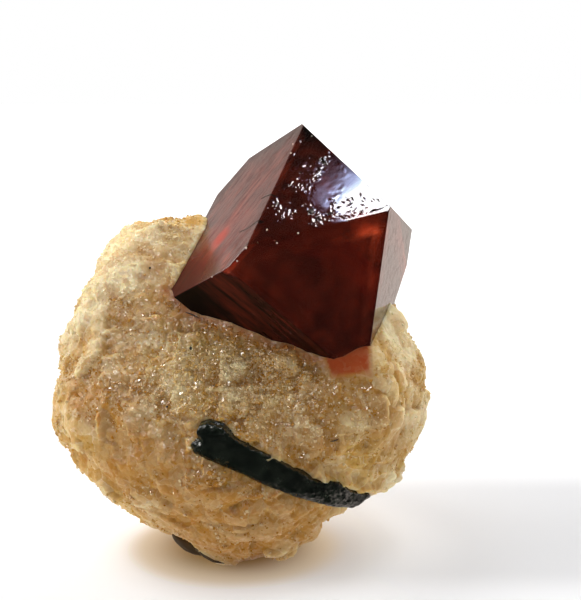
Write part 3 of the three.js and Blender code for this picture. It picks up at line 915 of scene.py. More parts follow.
def calcite_grains(name, lump, tries, seed):
    """Many small cleavage rhombs standing half out of the lump: each a cube squashed along its
    diagonal, stretched by three random edge lengths and turned at random. Places are tried all
    over the lump, and most are kept where the calcite is sugary."""
    random = np.random.default_rng(seed)
    places, normals = scattered_places(lump, tries, random)
    crowding = 1.4 * sugary_share(places) + 0.6 * soft_noise(places, 1.1, 95) - 0.55
    clear = zircon_distance(places) > RHOMB_CLEARANCE + 0.25 * soft_noise(places, 0.6, 96)
    clear &= window_share(places) == 0
    clear &= blade_distance(places) > RHOMB_CLEARANCE
    clear &= places[:, 2] > 0.5
    clear &= random.random(tries) < np.clip(0.4 + 0.9 * crowding, 0.02, 1)
    places, normals = places[clear], normals[clear]
    count = len(places)
    cube = np.array(list(itertools.product((-1, 1), repeat=3)), dtype=float)
    diagonal = unit(np.ones(3))
    rhomb = cube - RHOMB_SQUASH * np.outer(cube @ diagonal, diagonal)
    size = RHOMB_SIZE * np.exp(0.3 * random.normal(size=count))
    edges = size[:, None] * np.exp(0.25 * random.normal(size=(count, 3)))
    points = (rhomb[None] * edges[:, None]) @ random_turns(count, random)
    points += (places + normals * (0.1 * size)[:, None])[:, None]
    sides = [(0, 1, 3, 2), (4, 6, 7, 5), (0, 4, 5, 1), (2, 3, 7, 6), (0, 2, 6, 4), (1, 5, 7, 3)]
    faces = (np.array(sides) + 8 * np.arange(count)[:, None, None]).reshape(-1, 4)
    grains = make_piece(name, points.reshape(-1, 3), faces, smooth=False)
    mark_contact(grains)
    mark_zones(grains)
    store(grains, "grain_tone", np.repeat(random.random(count), 8))
    return grains


# ---------------------------------------------------------------- dark minerals

def blade_curve(share):
    """Point and direction on the blade's path: a Catmull-Rom curve through the listed points."""
    before = 2 * BLADE_PATH[0] - BLADE_PATH[1]
    after = 2 * BLADE_PATH[-1] - BLADE_PATH[-2]
    path = np.concatenate([[before], BLADE_PATH, [after]])
    spans = len(BLADE_PATH) - 1
    span = np.minimum((share * spans).astype(int), spans - 1)
    t = (share * spans - span)[:, None]
    a, b, c, d = (path[span + k] for k in range(4))
    slope, curve, twist = c - a, 2 * a - 5 * b + 4 * c - d, 3 * b - a - 3 * c + d
    place = 0.5 * (2 * b + slope * t + curve * t ** 2 + twist * t ** 3)
    return place, unit(slope + 2 * curve * t + 3 * twist * t ** 2)


def blade_distance(points):
    """Rough distance from points to the blade's surface."""
    path, _ = blade_curve(np.linspace(0, 1, 40))
    nearest = np.full(len(points), FAR)
    for place in path:
        nearest = np.minimum(nearest, np.linalg.norm(points - place, axis=1))
    return nearest - BLADE_HALF_WIDTH


def dark_blade(name, allowance=0.0):
    """A squared section carried along the bent path. It is smaller near the ends, ribbed along
    its length and dented by noise; its left end is notched and its right end slanted."""
    stations, sides = 220, 84
    share = np.linspace(0, 1, stations)
    turn = np.linspace(0, 2 * math.pi, sides, endpoint=False)
    place, along = blade_curve(share)
    outward = place - MATRIX_CENTRE
    outward = unit(outward - (outward * along).sum(axis=1, keepdims=True) * along)
    across = np.cross(along, outward)
    ends = np.minimum(1, BLADE_END_SIZE + BLADE_END_GROWTH * np.minimum(share, 1 - share))
    width = BLADE_HALF_WIDTH * ends * (1 + (BLADE_RIGHT_WIDTH - 1) * share) + allowance
    depth = BLADE_HALF_DEPTH * ends + allowance
    circle = np.stack([np.cos(turn), np.sin(turn)])
    side, face = circle / (abs(circle) ** BLADE_SQUARENESS).sum(axis=0) ** (1 / BLADE_SQUARENESS)
    at_left = np.maximum(0, 1 - BLADE_CUT_REACH * share)[:, None]
    at_right = np.maximum(0, 1 - BLADE_CUT_REACH * (1 - share))[:, None]
    notch = BLADE_NOTCH * at_left * np.exp(-(side / BLADE_NOTCH_WIDTH) ** 2)
    slant = BLADE_SLANT * at_right * side
    bells = [tall * np.exp(-((share - middle) / reach) ** 2) for middle, reach, tall in BLADE_CLUMPS]
    clump = sum(bells)[:, None] * np.maximum(-side, 0)
    rings = place[:, None] + across[:, None] * (side * width[:, None] - clump)[..., None]
    rings = rings + outward[:, None] * (face * depth[:, None])[..., None]
    rings = rings + along[:, None] * (notch - slant)[..., None]
    section = np.stack([side, face, np.zeros(sides)], axis=-1)
    ribs = soft_noise(section + 40, 0.24, 61) * 0.03 + soft_noise(section + 60, 0.6, 62) * 0.04
    drawn = rings * np.array([0.45, 1, 1])
    dents = layered_noise(drawn, 0.9, 63) * 0.06 + grain_relief(rings, BLADE_DENTS, 64)
    dents = dents + clump * grain_relief(rings, CLUMP_DENTS, 65)
    rings = rings + unit(rings - place[:, None]) * (ribs + dents)[..., None]
    left = rings[0].mean(axis=0) + along[0] * BLADE_NOTCH * BLADE_NOTCH_FLOOR
    middles = np.stack([left, rings[-1].mean(axis=0)])
    points = np.concatenate([rings.reshape(-1, 3), middles])
    blade = make_piece(name, points, tube_grid(rings))
    store(blade, "share", np.concatenate([np.repeat(share, sides), [0, 1]]))
    return blade


def base_grain():
    """A rough ball squashed to three radii and turned about the front axis, with the thin rod of
    painted shade that runs on from it along the base."""
    directions, quads = ball_grid(24)
    directions = directions * (1 + 0.1 * soft_noise(directions, 0.5, 71))[:, None]
    across, depth, up = (directions * BASE_GRAIN_RADII).T
    across, up = turned(across, up, -BASE_GRAIN_TURN)
    points = BASE_GRAIN_CENTRE + np.stack([across, depth, up], axis=-1)
    parts = [(points, quads.tolist()), spindle(BASE_SHADE_LINE, BASE_SHADE_LINE_RADIUS)]
    return joined_piece("base_grain", parts)


def dark_specks():
    """Small rough balls and two thin rods, half sunk in the calcite, as one piece; the rod under the
    crystal's left tip is painted shade.
    """
    balls = rough_balls(SPECKS, 5, 0.8, 0.3, 3, 72)
    return joined_piece("dark_specks", balls + [spindle(line, radius) for radius, line in LINES])


def pale_crumbs():
    """Small rough balls of calcite on the crystal's edges, as one piece."""
    return joined_piece("pale_crumbs", rough_balls(CRUMBS, 6, 0.7, 0.35, 5, 74))


# ---------------------------------------------------------------- materials

class Value:
    """A shader socket. Arithmetic on it adds Math nodes."""

    def __init__(self, shader, socket):
        self.shader = shader
        self.socket = socket

    def of(self, output):
        """Another output of the same node."""
        return Value(self.shader, self.socket.node.outputs[output])

    def math(self, operation, first, second=0.0):
        """A Math node."""
        return self.shader.node("ShaderNodeMath", {"operation": operation}, {0: first, 1: second})

    def __add__(self, other):
        return self.math("ADD", self, other)

    def __radd__(self, other):
        return self.math("ADD", other, self)

    def __sub__(self, other):
        return self.math("SUBTRACT", self, other)

    def __rsub__(self, other):
        return self.math("SUBTRACT", other, self)

    def __mul__(self, other):
        return self.math("MULTIPLY", self, other)

    def __rmul__(self, other):
        return self.math("MULTIPLY", other, self)

    def __truediv__(self, other):
        return self.math("DIVIDE", self, other)

    def __rtruediv__(self, other):
        return self.math("DIVIDE", other, self)

    def least(self, other):
        """The smaller of this and another."""
        return self.math("MINIMUM", self, other)

    def most(self, other):
        """The larger of this and another."""
        return self.math("MAXIMUM", self, other)

    def between(self, low, high):
        """0 up to low, 1 from high, and a smooth step between them."""
        settings = {"interpolation_type": "SMOOTHSTEP"}
        return self.shader.node("ShaderNodeMapRange", settings, {0: self, 1: low, 2: high})


class Shader:
    """The node tree of a material or a world."""

    def __init__(self, owner):
        owner.use_nodes = True
        self.owner = owner
        self.tree = owner.node_tree
        self.tree.nodes.clear()

    def node(self, kind, settings, inputs, output=0):
        """A node of a kind, its settings set first, then its sockets given values or links."""
        made = self.tree.nodes.new(kind)
        for key, value in settings.items():
            if key == "stops":
                self.set_stops(made.color_ramp.elements, value)
            else:
                setattr(made, key, value)
        for key, value in inputs.items():
            if isinstance(value, Value):
                self.tree.links.new(value.socket, made.inputs[key])
            else:
                made.inputs[key].default_value = value
        return Value(self, made.outputs[output]) if made.outputs else None

    @staticmethod
    def set_stops(elements, stops):
        """Give a colour ramp its (position, colour) stops."""
        while len(elements) < len(stops):
            elements.new(1.0)
        for element, (position, colour) in zip(elements, stops):
            element.position = position
            element.color = colour

    def place(self):
        """Object coordinates in millimetres."""
        coordinates = self.node("ShaderNodeTexCoord", {}, {}, "Object")
        return self.scaled(coordinates, 1 / MM)

    def attribute(self, name):
        """A number stored on the piece's points."""
        return self.node("ShaderNodeAttribute", {"attribute_name": name}, {}, "Fac")

    def vector(self, operation, inputs, output=0):
        """A Vector Math node."""
        return self.node("ShaderNodeVectorMath", {"operation": operation}, inputs, output)

    def scaled(self, vector, factor):
        """A vector times a number."""
        return self.vector("SCALE", {0: vector, "Scale": factor})

    def dot(self, first, second):
        """The dot product of two vectors."""
        return self.vector("DOT_PRODUCT", {0: first, 1: second}, "Value")

    def distance(self, first, second):
        """The distance between two places."""
        return self.vector("DISTANCE", {0: first, 1: second}, "Value")

    def drawn_out(self, vector, direction, share=0.85):
        """Coordinates that stretch a pattern along a direction: v - share * (v . d) d."""
        along = self.dot(vector, direction)
        taken = {0: self.scaled(direction, along), 1: (-share, -share, -share), 2: vector}
        return self.vector("MULTIPLY_ADD", taken)

    def noise(self, vector, size, detail=2.0, roughness=0.5, distortion=0.0):
        """Noise about 0.5 whose features are about a size in millimetres."""
        inputs = {"Vector": vector, "Scale": 1 / size, "Detail": detail, "Roughness": roughness,
                  "Distortion": distortion}
        return self.node("ShaderNodeTexNoise", {}, inputs)

    def cells(self, vector, size, feature="F1", output="Distance"):
        """A pattern of cells about a size in millimetres."""
        inputs = {"Vector": vector, "Scale": 1 / size}
        return self.node("ShaderNodeTexVoronoi", {"feature": feature}, inputs, output)

    def red_of(self, tint):
        """The red of a colour, with its green and blue on the same node."""
        return self.node("ShaderNodeSeparateColor", {}, {0: tint})

    def mixed(self, factor, first, second, blend="MIX"):
        """A colour between two others."""
        settings = {"data_type": "RGBA", "blend_type": blend}
        return self.node("ShaderNodeMix", settings, {0: factor, 6: first, 7: second}, 2)

    def bump(self, height, strength, distance):
        """A normal that follows a height, over a distance in millimetres."""
        inputs = {"Height": height, "Strength": strength, "Distance": distance * MM}
        return self.node("ShaderNodeBump", {}, inputs)

    def leaning_normal(self, lean, amount, normal=None):
        """The surface normal with a random colour's lean added, for small flat facets."""
        base = normal or self.node("ShaderNodeNewGeometry", {}, {}, "Normal")
        centred = self.vector("SUBTRACT", {0: lean, 1: (0.5, 0.5, 0.5)})
        moved = self.vector("ADD", {0: self.scaled(centred, amount), 1: base})
        return self.vector("NORMALIZE", {0: moved})

    def surface(self, inputs):
        """A Principled surface."""
        return self.node("ShaderNodeBsdfPrincipled", {}, inputs)

    def blend(self, factor, first, second):
        """A surface between two others."""
        return self.node("ShaderNodeMixShader", {}, {0: factor, 1: first, 2: second})

    def finish(self, lamp=True, **links):
        """Link the material's output. One that is no lamp isn't searched for as a light."""
        self.node("ShaderNodeOutputMaterial", {}, links)
        if not lamp:
            self.owner.cycles.emission_sampling = "NONE"
        return self.owner


def new_shader(name):
    """The node tree of a new material."""
    return Shader(bpy.data.materials.new(name))


def colour(red, green, blue):
    """An opaque colour."""
    return (red, green, blue, 1.0)


BLACK = colour(0, 0, 0)
WHITE = colour(1, 1, 1)

# Calcite: its three grounds, the bands beside the crystal (partly painted shade), the window over
# the crystal's corner, and the painted glow of its socket lining
GOLDEN = colour(0.65, 0.385, 0.092)
CREAM = colour(0.90, 0.765, 0.465)
AMBER = colour(0.45, 0.19, 0.018)
BROWN_BAND = colour(0.52, 0.25, 0.05)
RED_BAND = colour(0.42, 0.13, 0.025)
PALE_EDGE = colour(0.70, 0.40, 0.16)
WINDOW_BROWN = colour(0.46, 0.17, 0.035)
WINDOW_RED = colour(0.42, 0.072, 0.020)
SOCKET_GLOW_BROWN = colour(0.05, 0.03, 0.015)
# Its chunks, the gaps and rims between them, its grains and its rhombs
CHUNK_PALE = colour(0.93, 0.80, 0.52)
CHUNK_BROWN = colour(0.56, 0.28, 0.045)
GAP_BROWN = colour(0.46, 0.255, 0.066)
RIM_PALE = colour(0.96, 0.88, 0.68)
GRAIN_PALE = colour(0.93, 0.78, 0.46)
GRAIN_BROWN = colour(0.44, 0.27, 0.10)
RHOMB_PALE = colour(0.95, 0.84, 0.56)
DUST = [colour(0.80, 0.62, 0.48), colour(0.95, 0.88, 0.80)]
# Painted glow: share of its colour that calcite gives off as emission, for light through it from
# behind: in general, and more in places
INNER_LIGHT = 0.07
LIT_LIGHT = 0.20

# Zircon: what it lets through, its painted red glow, its dark skin of painted shade and its veils
ZIRCON_BODY = colour(0.72, 0.28, 0.04)
ZIRCON_FACE = colour(1.0, 0.97, 0.95)
ZIRCON_LIGHT = colour(0.34, 0.040, 0.028)
DARK_SKIN_TONES = [colour(0.006, 0.003, 0.002), colour(0.120, 0.016, 0.007)]
VEIL_BROWN = colour(0.26, 0.045, 0.018)
VEIL_LIGHT = colour(0.50, 0.085, 0.034)

# Dark minerals, each between two tones, and the frost on the blade's right end; the base grain's
# brown tones are partly painted contact shade
BLADE_TONES = [colour(0.004, 0.008, 0.005), colour(0.013, 0.020, 0.011)]
BLADE_FROST = colour(0.036, 0.052, 0.036)
SPECK_TONES = [colour(0.014, 0.010, 0.005), colour(0.060, 0.042, 0.020)]
BASE_GRAIN_TONES = [colour(0.045, 0.028, 0.012), colour(0.150, 0.098, 0.045)]

# Paper: its tones, its painted warm shadow under the object, and painted light on it in the shade and
# under the object
PAPER = [colour(0.68, 0.69, 0.71), colour(0.70, 0.71, 0.73)]
PAINTED_WARM_SHADOW = colour(0.40, 0.29, 0.15)
SHADE_LIGHT = [colour(0.01, 0.01, 0.015), colour(0.24, 0.24, 0.25)]
UNDER_LIGHT = [colour(0.08, 0.045, 0.012), colour(0.36, 0.31, 0.24)]
SHADE_CENTRE = (35.0, -12.0, 0.0)
# The patch of floor close under the object: an oval 16 by 13 mm about (-0.5, -2.5)
CONTACT_SCALE = (1 / 8, 1 / 6.5, 0.0)
CONTACT_SHIFT = (0.5 / 8, 2.5 / 6.5, 0.0)

# The glowing sheet overhead: its tints from rim to middle, and its place, turn, size and rims
LAMP_TINTS = [
    (0.0, BLACK), (0.34, colour(0.050, 0.038, 0.055)), (0.475, colour(0.09, 0.085, 0.135)),
    (0.61, colour(0.13, 0.13, 0.21)), (0.74, colour(0.30, 0.34, 0.56)),
    (0.87, colour(0.51, 0.62, 0.78)), (1.0, colour(0.96, 0.98, 1.0)),
]
LAMP_CENTRE = np.array([81.1, 27.1, 330.0])
LAMP_TURN = math.radians(-45)
LAMP_SIDES = np.array([
    (math.cos(LAMP_TURN), math.sin(LAMP_TURN), 0.0),
    (-math.sin(LAMP_TURN), math.cos(LAMP_TURN), 0.0),
])
LAMP_HALF = 50.0
LAMP_RIMS = (16.0, 4.5)
LAMP_RADIANCE = 11.0


def calcite_tone(shader):
    """Calcite's colour: golden ground with pale and amber zones, a red-brown band beside the
    crystal, and brown to red where the crystal's corner shows through. The zones and the band are
    partly painted light and shade."""
    pale = shader.attribute("pale")
    amber = shader.attribute("amber")
    tone = shader.mixed(pale.between(0.25, 0.95), GOLDEN, CREAM)
    tone = shader.mixed(amber.between(0.25, 0.95) * 0.9, tone, AMBER)
    near = shader.attribute("near_zircon")
    # painted shade along the contact, over the calcite's own red-brown tone
    tone = shader.mixed(near.between(0.15, 0.45) * 0.7, tone, BROWN_BAND)
    tone = shader.mixed(near.between(0.40, 0.80) * 0.85, tone, RED_BAND)
    tone = shader.mixed(near.between(0.90, 0.98) * 0.4, tone, PALE_EDGE)
    window = shader.attribute("window")
    tone = shader.mixed(window.between(0.0, 0.4), tone, WINDOW_BROWN)
    return shader.mixed(window.between(0.4, 0.9), tone, WINDOW_RED)


def painted_inner_glow(shader, tone):
    """Painted glow: emission standing for light that comes through the calcite from behind."""
    return shader.mixed(INNER_LIGHT + shader.attribute("lit") * LIT_LIGHT, BLACK, tone)


def calcite_material():
    """Translucent chunks of calcite with brown gaps, pale rims and two sizes of glossy grains,
    rougher where it is sugary. Over the crystal's corner it is waxy instead. It gives off a painted
    glow for light from behind, and its socket lining a faint painted brown glow."""
    shader = new_shader("sugary calcite")
    place = shader.place()
    sugary = shader.attribute("sugary")
    near = shader.attribute("near_zircon")
    window = shader.attribute("window")
    rough = (0.45 + sugary * 0.55) * (1 - near.between(0.6, 0.95) * 0.6) * (1 - window * 0.8)
    warp = shader.node("ShaderNodeTexNoise", {}, {"Vector": place, "Scale": 1.2, "Detail": 3.0}, "Color")
    drifted = shader.vector("ADD", {0: place, 1: shader.scaled(warp, 0.8)})
    chunk = shader.red_of(shader.cells(drifted, 1.25, output="Color"))
    chunk_rim = 1 - shader.cells(drifted, 1.25, "DISTANCE_TO_EDGE").between(0.0, 0.05)
    blob = shader.cells(drifted, 0.55, "SMOOTH_F1")
    gaps = blob.between(0.28, 0.62)
    grain_colour = shader.cells(place, 0.30, output="Color")
    fine_colour = shader.cells(place, 0.14, output="Color")
    grain_tone = shader.red_of(grain_colour)
    fine_tone = shader.red_of(fine_colour)
    calm = 1 - shader.attribute("amber").between(0.4, 1.0) * 0.6
    plain = (1 - near.between(0.2, 0.5)) * (1 - window) * calm
    tone = calcite_tone(shader)
    tone = shader.mixed(chunk.between(0.35, 0.95) * plain * 0.38, tone, CHUNK_PALE)
    tone = shader.mixed(chunk.of("Green").between(0.5, 1.0) * plain * 0.50, tone, CHUNK_BROWN)
    tone = shader.mixed(gaps * rough * 0.38, tone, GAP_BROWN)
    broken = shader.noise(place, 0.8, 3).between(0.45, 0.6)
    tone = shader.mixed(chunk_rim * broken * plain * 0.4, tone, RIM_PALE)
    tone = shader.mixed(grain_tone.between(0.2, 1.0) * rough * 0.35, tone, GRAIN_PALE)
    tone = shader.mixed(fine_tone.between(0.5, 1.0) * rough * 0.28, tone, GRAIN_BROWN)
    relief = shader.bump(1 - blob, 0.5, 0.12)
    normal = shader.leaning_normal(grain_colour, rough * 0.6, relief)
    normal = shader.leaning_normal(fine_colour, rough * 0.7, normal)
    lining = shader.attribute("socket")
    # painted glow: the socket lining gives off faint brown instead of the glow from behind
    glow = shader.mixed(lining, painted_inner_glow(shader, tone), SOCKET_GLOW_BROWN)
    sparkling = shader.surface({
        "Base Color": tone,
        "Roughness": 0.10 + fine_tone * 0.35 + (1 - rough) * 0.35,
        "IOR": 1.5,
        "Normal": normal,
        "Subsurface Weight": 0.85,
        "Subsurface Radius": (1.0, 0.7, 0.38),
        "Subsurface Scale": 0.7 * MM,
        "Emission Color": glow,
        "Emission Strength": 1.0,
    })
    waxy = shader.surface({
        "Base Color": tone,
        "Roughness": 0.7,
        "Specular IOR Level": 0.03,
        "Emission Color": glow,
        "Emission Strength": 1.0,
    })
    return shader.finish(lamp=False, Surface=shader.blend(window.between(0.0, 0.5), sparkling, waxy))


def grain_material():
    """Glossy calcite, each rhomb with its own share of a paler tone."""
    shader = new_shader("calcite grains")
    own = shader.attribute("grain_tone")
    tone = calcite_tone(shader)
    away = 1 - shader.attribute("near_zircon").between(0.25, 0.6) * 0.8
    tone = shader.mixed(own.between(0.2, 1.0) * away * 0.55, tone, RHOMB_PALE)
    return shader.finish(lamp=False, Surface=shader.surface({
        "Base Color": tone,
        "Roughness": 0.10 + own * 0.18,
        "IOR": 1.6,
        "Subsurface Weight": 0.3,
        "Subsurface Radius": (1.0, 0.8, 0.5),
        "Subsurface Scale": 0.1 * MM,
        # painted glow, as on the lump
        "Emission Color": painted_inner_glow(shader, tone),
        "Emission Strength": 1.0,
    }))


def on_face(shader, place, index):
    """1 on a face of the crystal, and 0 from 0.05 mm under it."""
    normals, distances = zircon_planes()
    number = list(ZIRCON_FACES).index(index)
    depth = float(distances[number]) - shader.dot(place, normals[number])
    return 1 - depth.between(0.01, 0.05)


def edge_direction(first, second):
    """Unit direction of the edge between two faces of the crystal."""
    normals, _ = zircon_planes()
    indices = list(ZIRCON_FACES)
    return unit(np.cross(normals[indices.index(first)], normals[indices.index(second)]))


def zircon_material():
    """Clear deep red crystal. Its underside and its left prism face round the left tip get a dark
    opaque skin of painted shade with dark red streaks, the right pyramid face some worn patches,
    and the left prism face a painted red glow.
    """
    shader = new_shader("deep red zircon")
    place = shader.place()
    body = {"Color": ZIRCON_BODY, "Density": 700.0}
    absorption = shader.node("ShaderNodeVolumeAbsorption", {}, body)
    wear = shader.noise(place, 0.6, 4, 0.6)
    streaks = shader.noise(shader.drawn_out(place, STREAK), 0.55, 5, 0.65, 0.2)
    under_edge = edge_direction((0, -1, 1), (0, -1, 0))
    under_streaks = shader.noise(shader.drawn_out(place, under_edge), 0.5, 5, 0.6, 0.2)
    clouds = shader.noise(place, 1.1, 4, 0.6, 0.5)
    underside = on_face(shader, place, (0, -1, 0))
    left_face = on_face(shader, place, (-1, 0, 0))
    right_face = on_face(shader, place, (1, 0, 1))
    # painted glow: red emission on the left prism face, strongest round the red spot and along its
    # streaks
    from_tip = shader.distance(place, LEFT_TIP)
    from_glow = shader.distance(place, RED_SPOT)
    lit_spot = 1 - from_glow.between(0.3, 1.5)
    lit_streaks = 0.25 + streaks.between(0.35, 0.65) * (1 - from_glow.between(1.0, 5.0)) * 0.75
    lit = (lit_streaks * 0.30).most(lit_spot * (0.5 + streaks * 0.8))
    lit = left_face * from_tip.between(1.5, 4.5) * lit
    painted_red_glow = shader.mixed(lit.least(1.0), BLACK, ZIRCON_LIGHT)
    clear = shader.surface({
        "Base Color": ZIRCON_FACE,
        "Roughness": 0.02 + wear.between(0.5, 0.8) * 0.06 + left_face * (0.10 + streaks * 0.15),
        "IOR": 1.95,
        "Transmission Weight": 1.0,
        "Normal": shader.bump(streaks * left_face + wear * right_face, 0.5, 0.015),
        "Emission Color": painted_red_glow,
        "Emission Strength": 1.0,
    })
    # painted shade: a dark opaque skin on the underside and round the left tip, and wear on the right
    # pyramid face
    shaded_skin_and_wear = underside * (1.0 - from_tip.between(3.0, 10.0) * 0.12)
    near_tip = (1 - from_tip.between(2.8, 6.6)) * (0.80 + clouds * 0.4)
    left_face_skin = 0.12 + clouds.between(0.3, 0.7) * 0.40 + (1 - from_tip.between(5.5, 10.0)) * 0.28
    left_face_skin = (streaks.between(0.40, 0.70) * left_face_skin).most(lit_spot * 0.6)
    shaded_skin_and_wear = shaded_skin_and_wear.most(left_face * near_tip.most(left_face_skin))
    shaded_skin_and_wear = shaded_skin_and_wear.most(right_face * wear.between(0.45, 0.8) * 0.25)
    red = from_tip.between(2.2, 5.0) * under_streaks.between(0.30, 0.85)
    red = red.most(left_face * (0.20 + streaks * 0.7))
    skin = shader.surface({
        "Base Color": shader.mixed(red, *DARK_SKIN_TONES),
        "Roughness": 0.4 + clouds * 0.2,
        "IOR": 1.17,
        "Emission Color": painted_red_glow,
        "Emission Strength": 1.0,
    })
    return shader.finish(lamp=False, Surface=shader.blend(shaded_skin_and_wear, clear, skin), Volume=absorption)


def veil_material():
    """Half-clear brown veils with a painted red glow: mottled, or streaked on those with streaks."""
    shader = new_shader("healed veils")
    place = shader.place()
    clouds = shader.noise(place, 1.5, 4, 0.6, 0.4)
    flecks = shader.noise(place, 0.35, 3, 0.6)
    fine = shader.noise(shader.drawn_out(place, STREAK), 0.45, 3, 0.65).between(0.35, 0.75)
    streaks = shader.attribute("streaks")
    cloudy = clouds.between(0.3, 0.7)
    mottle = (0.2 + cloudy * 0.55 + flecks.between(0.45, 0.8) * 0.25) * (1 - streaks)
    mottle = mottle + streaks * (0.12 + fine * 0.75 + cloudy * 0.35)
    glow = shader.attribute("glow") * mottle / GLOW_LIMIT
    return shader.finish(Surface=shader.surface({
        "Base Color": VEIL_BROWN,
        "Roughness": 0.5,
        "Alpha": (0.12 + mottle * 0.5).least(1.0) * shader.attribute("fade"),
        "Emission Color": shader.mixed(glow, BLACK, VEIL_LIGHT),
        "Emission Strength": 1.6 * GLOW_LIMIT,
    }))


def dark_material():
    """Green-black mineral with fine glossy facets, and frost on the blade's right end."""
    shader = new_shader("green-black mineral")
    place = shader.place()
    clouds = shader.noise(place, 0.9, 4, 0.6)
    facets = shader.cells(place, 0.17, output="Color")
    tone = shader.mixed(clouds.between(0.4, 0.7), *BLADE_TONES)
    frost = shader.attribute("share").between(0.95, 1.0) * shader.noise(place, 0.3, 3).between(0.3, 0.6)
    return shader.finish(Surface=shader.surface({
        "Base Color": shader.mixed(frost * 0.3, tone, BLADE_FROST),
        "Roughness": 0.14 + clouds * 0.20 + frost * 0.3,
        "IOR": 1.6,
        "Normal": shader.leaning_normal(facets, 0.42),
    }))


def dull_material(name, tones):
    """A dull mottled mineral between two tones."""
    shader = new_shader(name)
    clouds = shader.noise(shader.place(), 0.4, 3, 0.6)
    return shader.finish(Surface=shader.surface({
        "Base Color": shader.mixed(clouds, *tones),
        "Roughness": 0.5 + clouds * 0.2,
        "Normal": shader.bump(clouds, 0.6, 0.08),
    }))


def crumb_material():
    """Dusty pale calcite."""
    shader = new_shader("calcite crumbs")
    dust = shader.noise(shader.place(), 0.06, 3, 0.6)
    return shader.finish(Surface=shader.surface({
        "Base Color": shader.mixed(dust, *DUST),
        "Roughness": 0.3 + dust * 0.3,
        "Normal": shader.bump(dust, 0.5, 0.03),
        "Subsurface Weight": 0.4,
        "Subsurface Scale": 0.1 * MM,
    }))


def floor_material():
    """White paper with painted light and shade: its glow grows the further it is from the shaded side,
    with a painted warm shadow under the object and painted light round it."""
    shader = new_shader("white paper")
    place = shader.place()
    tone = shader.mixed(shader.noise(place, 60.0, 2), *PAPER)
    from_shade = shader.distance(place, SHADE_CENTRE)
    scaled = shader.vector("MULTIPLY_ADD", {0: place, 1: CONTACT_SCALE, 2: CONTACT_SHIFT})
    close = shader.vector("LENGTH", {0: scaled}, "Value")
    across = shader.node("ShaderNodeSeparateXYZ", {}, {0: place}, "X")
    back = across.of("Y")
    # painted warm shadow under the object
    tone = shader.mixed(close.between(0.6, 1.4), PAINTED_WARM_SHADOW, tone)
    # painted light and shade on the paper, given as emission
    glow = shader.mixed(from_shade.between(34, 56), *SHADE_LIGHT)
    glow = shader.mixed(from_shade.between(70, 400), glow, WHITE)
    right = across.between(0, 12)
    near = 1 - close.between(1.3, 2.4)
    behind = back.between(8, 13) * 0.14
    before = (0 - back).between(6.5, 11) * 0.16
    lift = (1 - right) * (0.05 + near * 0.42) + right * (0.04 + near * 0.22 + behind + before)
    glow = shader.mixed(1.0, glow, shader.mixed(lift, BLACK, WHITE), "ADD")
    under = shader.mixed(close.between(0.35, 0.95), *UNDER_LIGHT)
    glow = shader.mixed(close.between(0.85, 1.15), under, glow)
    return shader.finish(Surface=shader.surface({
        "Base Color": tone,
        "Roughness": 0.6,
        "Specular IOR Level": 0.3,
        "Emission Color": glow,
        "Emission Strength": 1.0,
    }))


def lamp_material():
    """A glowing sheet, white in the middle and fading through pale blue and violet to dark at
    its rim. Its sides are turned, so its distance from the rim is measured along both."""
    shader = new_shader("glowing sheet")
    place = shader.place()
    inward = 1.0
    for direction, rim in zip(LAMP_SIDES, LAMP_RIMS):
        offset = shader.dot(place, direction) - float(direction @ LAMP_CENTRE)
        inward = ((LAMP_HALF - offset.math("ABSOLUTE", offset)) / rim).least(inward)
    return shader.finish(Surface=shader.surface({
        "Base Color": BLACK,
        "Specular IOR Level": 0.0,
        "Emission Color": shader.node("ShaderNodeValToRGB", {"stops": LAMP_TINTS}, {0: inward}),
        "Emission Strength": LAMP_RADIANCE,
    }))


# ---------------------------------------------------------------- camera, lights and floor

CAMERA_PLACE = (3.9 * MM, -74.91 * MM, 34.96 * MM)
CAMERA_TILT = math.radians(78)
CAMERA_LENS = 60
CAMERA_SENSOR = 36

# Places that lights look at, and their tints
MIDDLE = (0, 0, 0.012)
ORIGIN = (0, 0, 0)
WARM_WHITE = (1.0, 0.985, 0.96)
SPARKLE = (1.0, 0.98, 0.94)

# The surroundings: how much more they light than they show, and their tints, seen and mirrored
WORLD_FILL = 1.5
WORLD_TINT = colour(1.0, 0.98, 0.95)
WORLD_MIRRORED = colour(1.0, 0.87, 0.79)
FLOOR_HALF = 2000.0


def add_camera():
    """A camera in front of the object and a little above it, tilted down."""
    camera = bpy.data.objects.new("camera", bpy.data.cameras.new("camera"))
    camera.data.lens = CAMERA_LENS
    camera.data.sensor_width = CAMERA_SENSOR
    camera.data.clip_start = 0.005
    camera.location = CAMERA_PLACE
    camera.rotation_euler = (CAMERA_TILT, 0, 0)
    bpy.context.scene.collection.objects.link(camera)
    bpy.context.scene.camera = camera


def add_panel(name, place, target, size, radiance, tint, mirrored=True, lighting=True):
    """A rectangular soft light whose surface has a given brightness, at a place in metres and
    facing a target. One that isn't mirrored lights the object without showing in its glossy
    faces, and one that isn't lighting shows in them and no more."""
    light = bpy.data.lights.new(name, "AREA")
    light.shape = "RECTANGLE"
    light.size, light.size_y = size
    light.energy = radiance * math.pi * size[0] * size[1]
    light.color = tint
    panel = bpy.data.objects.new(name, light)
    panel.visible_glossy = mirrored
    panel.visible_transmission = mirrored and lighting
    panel.visible_diffuse = lighting
    panel.location = place
    panel.rotation_euler = (Vector(target) - Vector(place)).to_track_quat("-Z", "Y").to_euler()
    bpy.context.scene.collection.objects.link(panel)


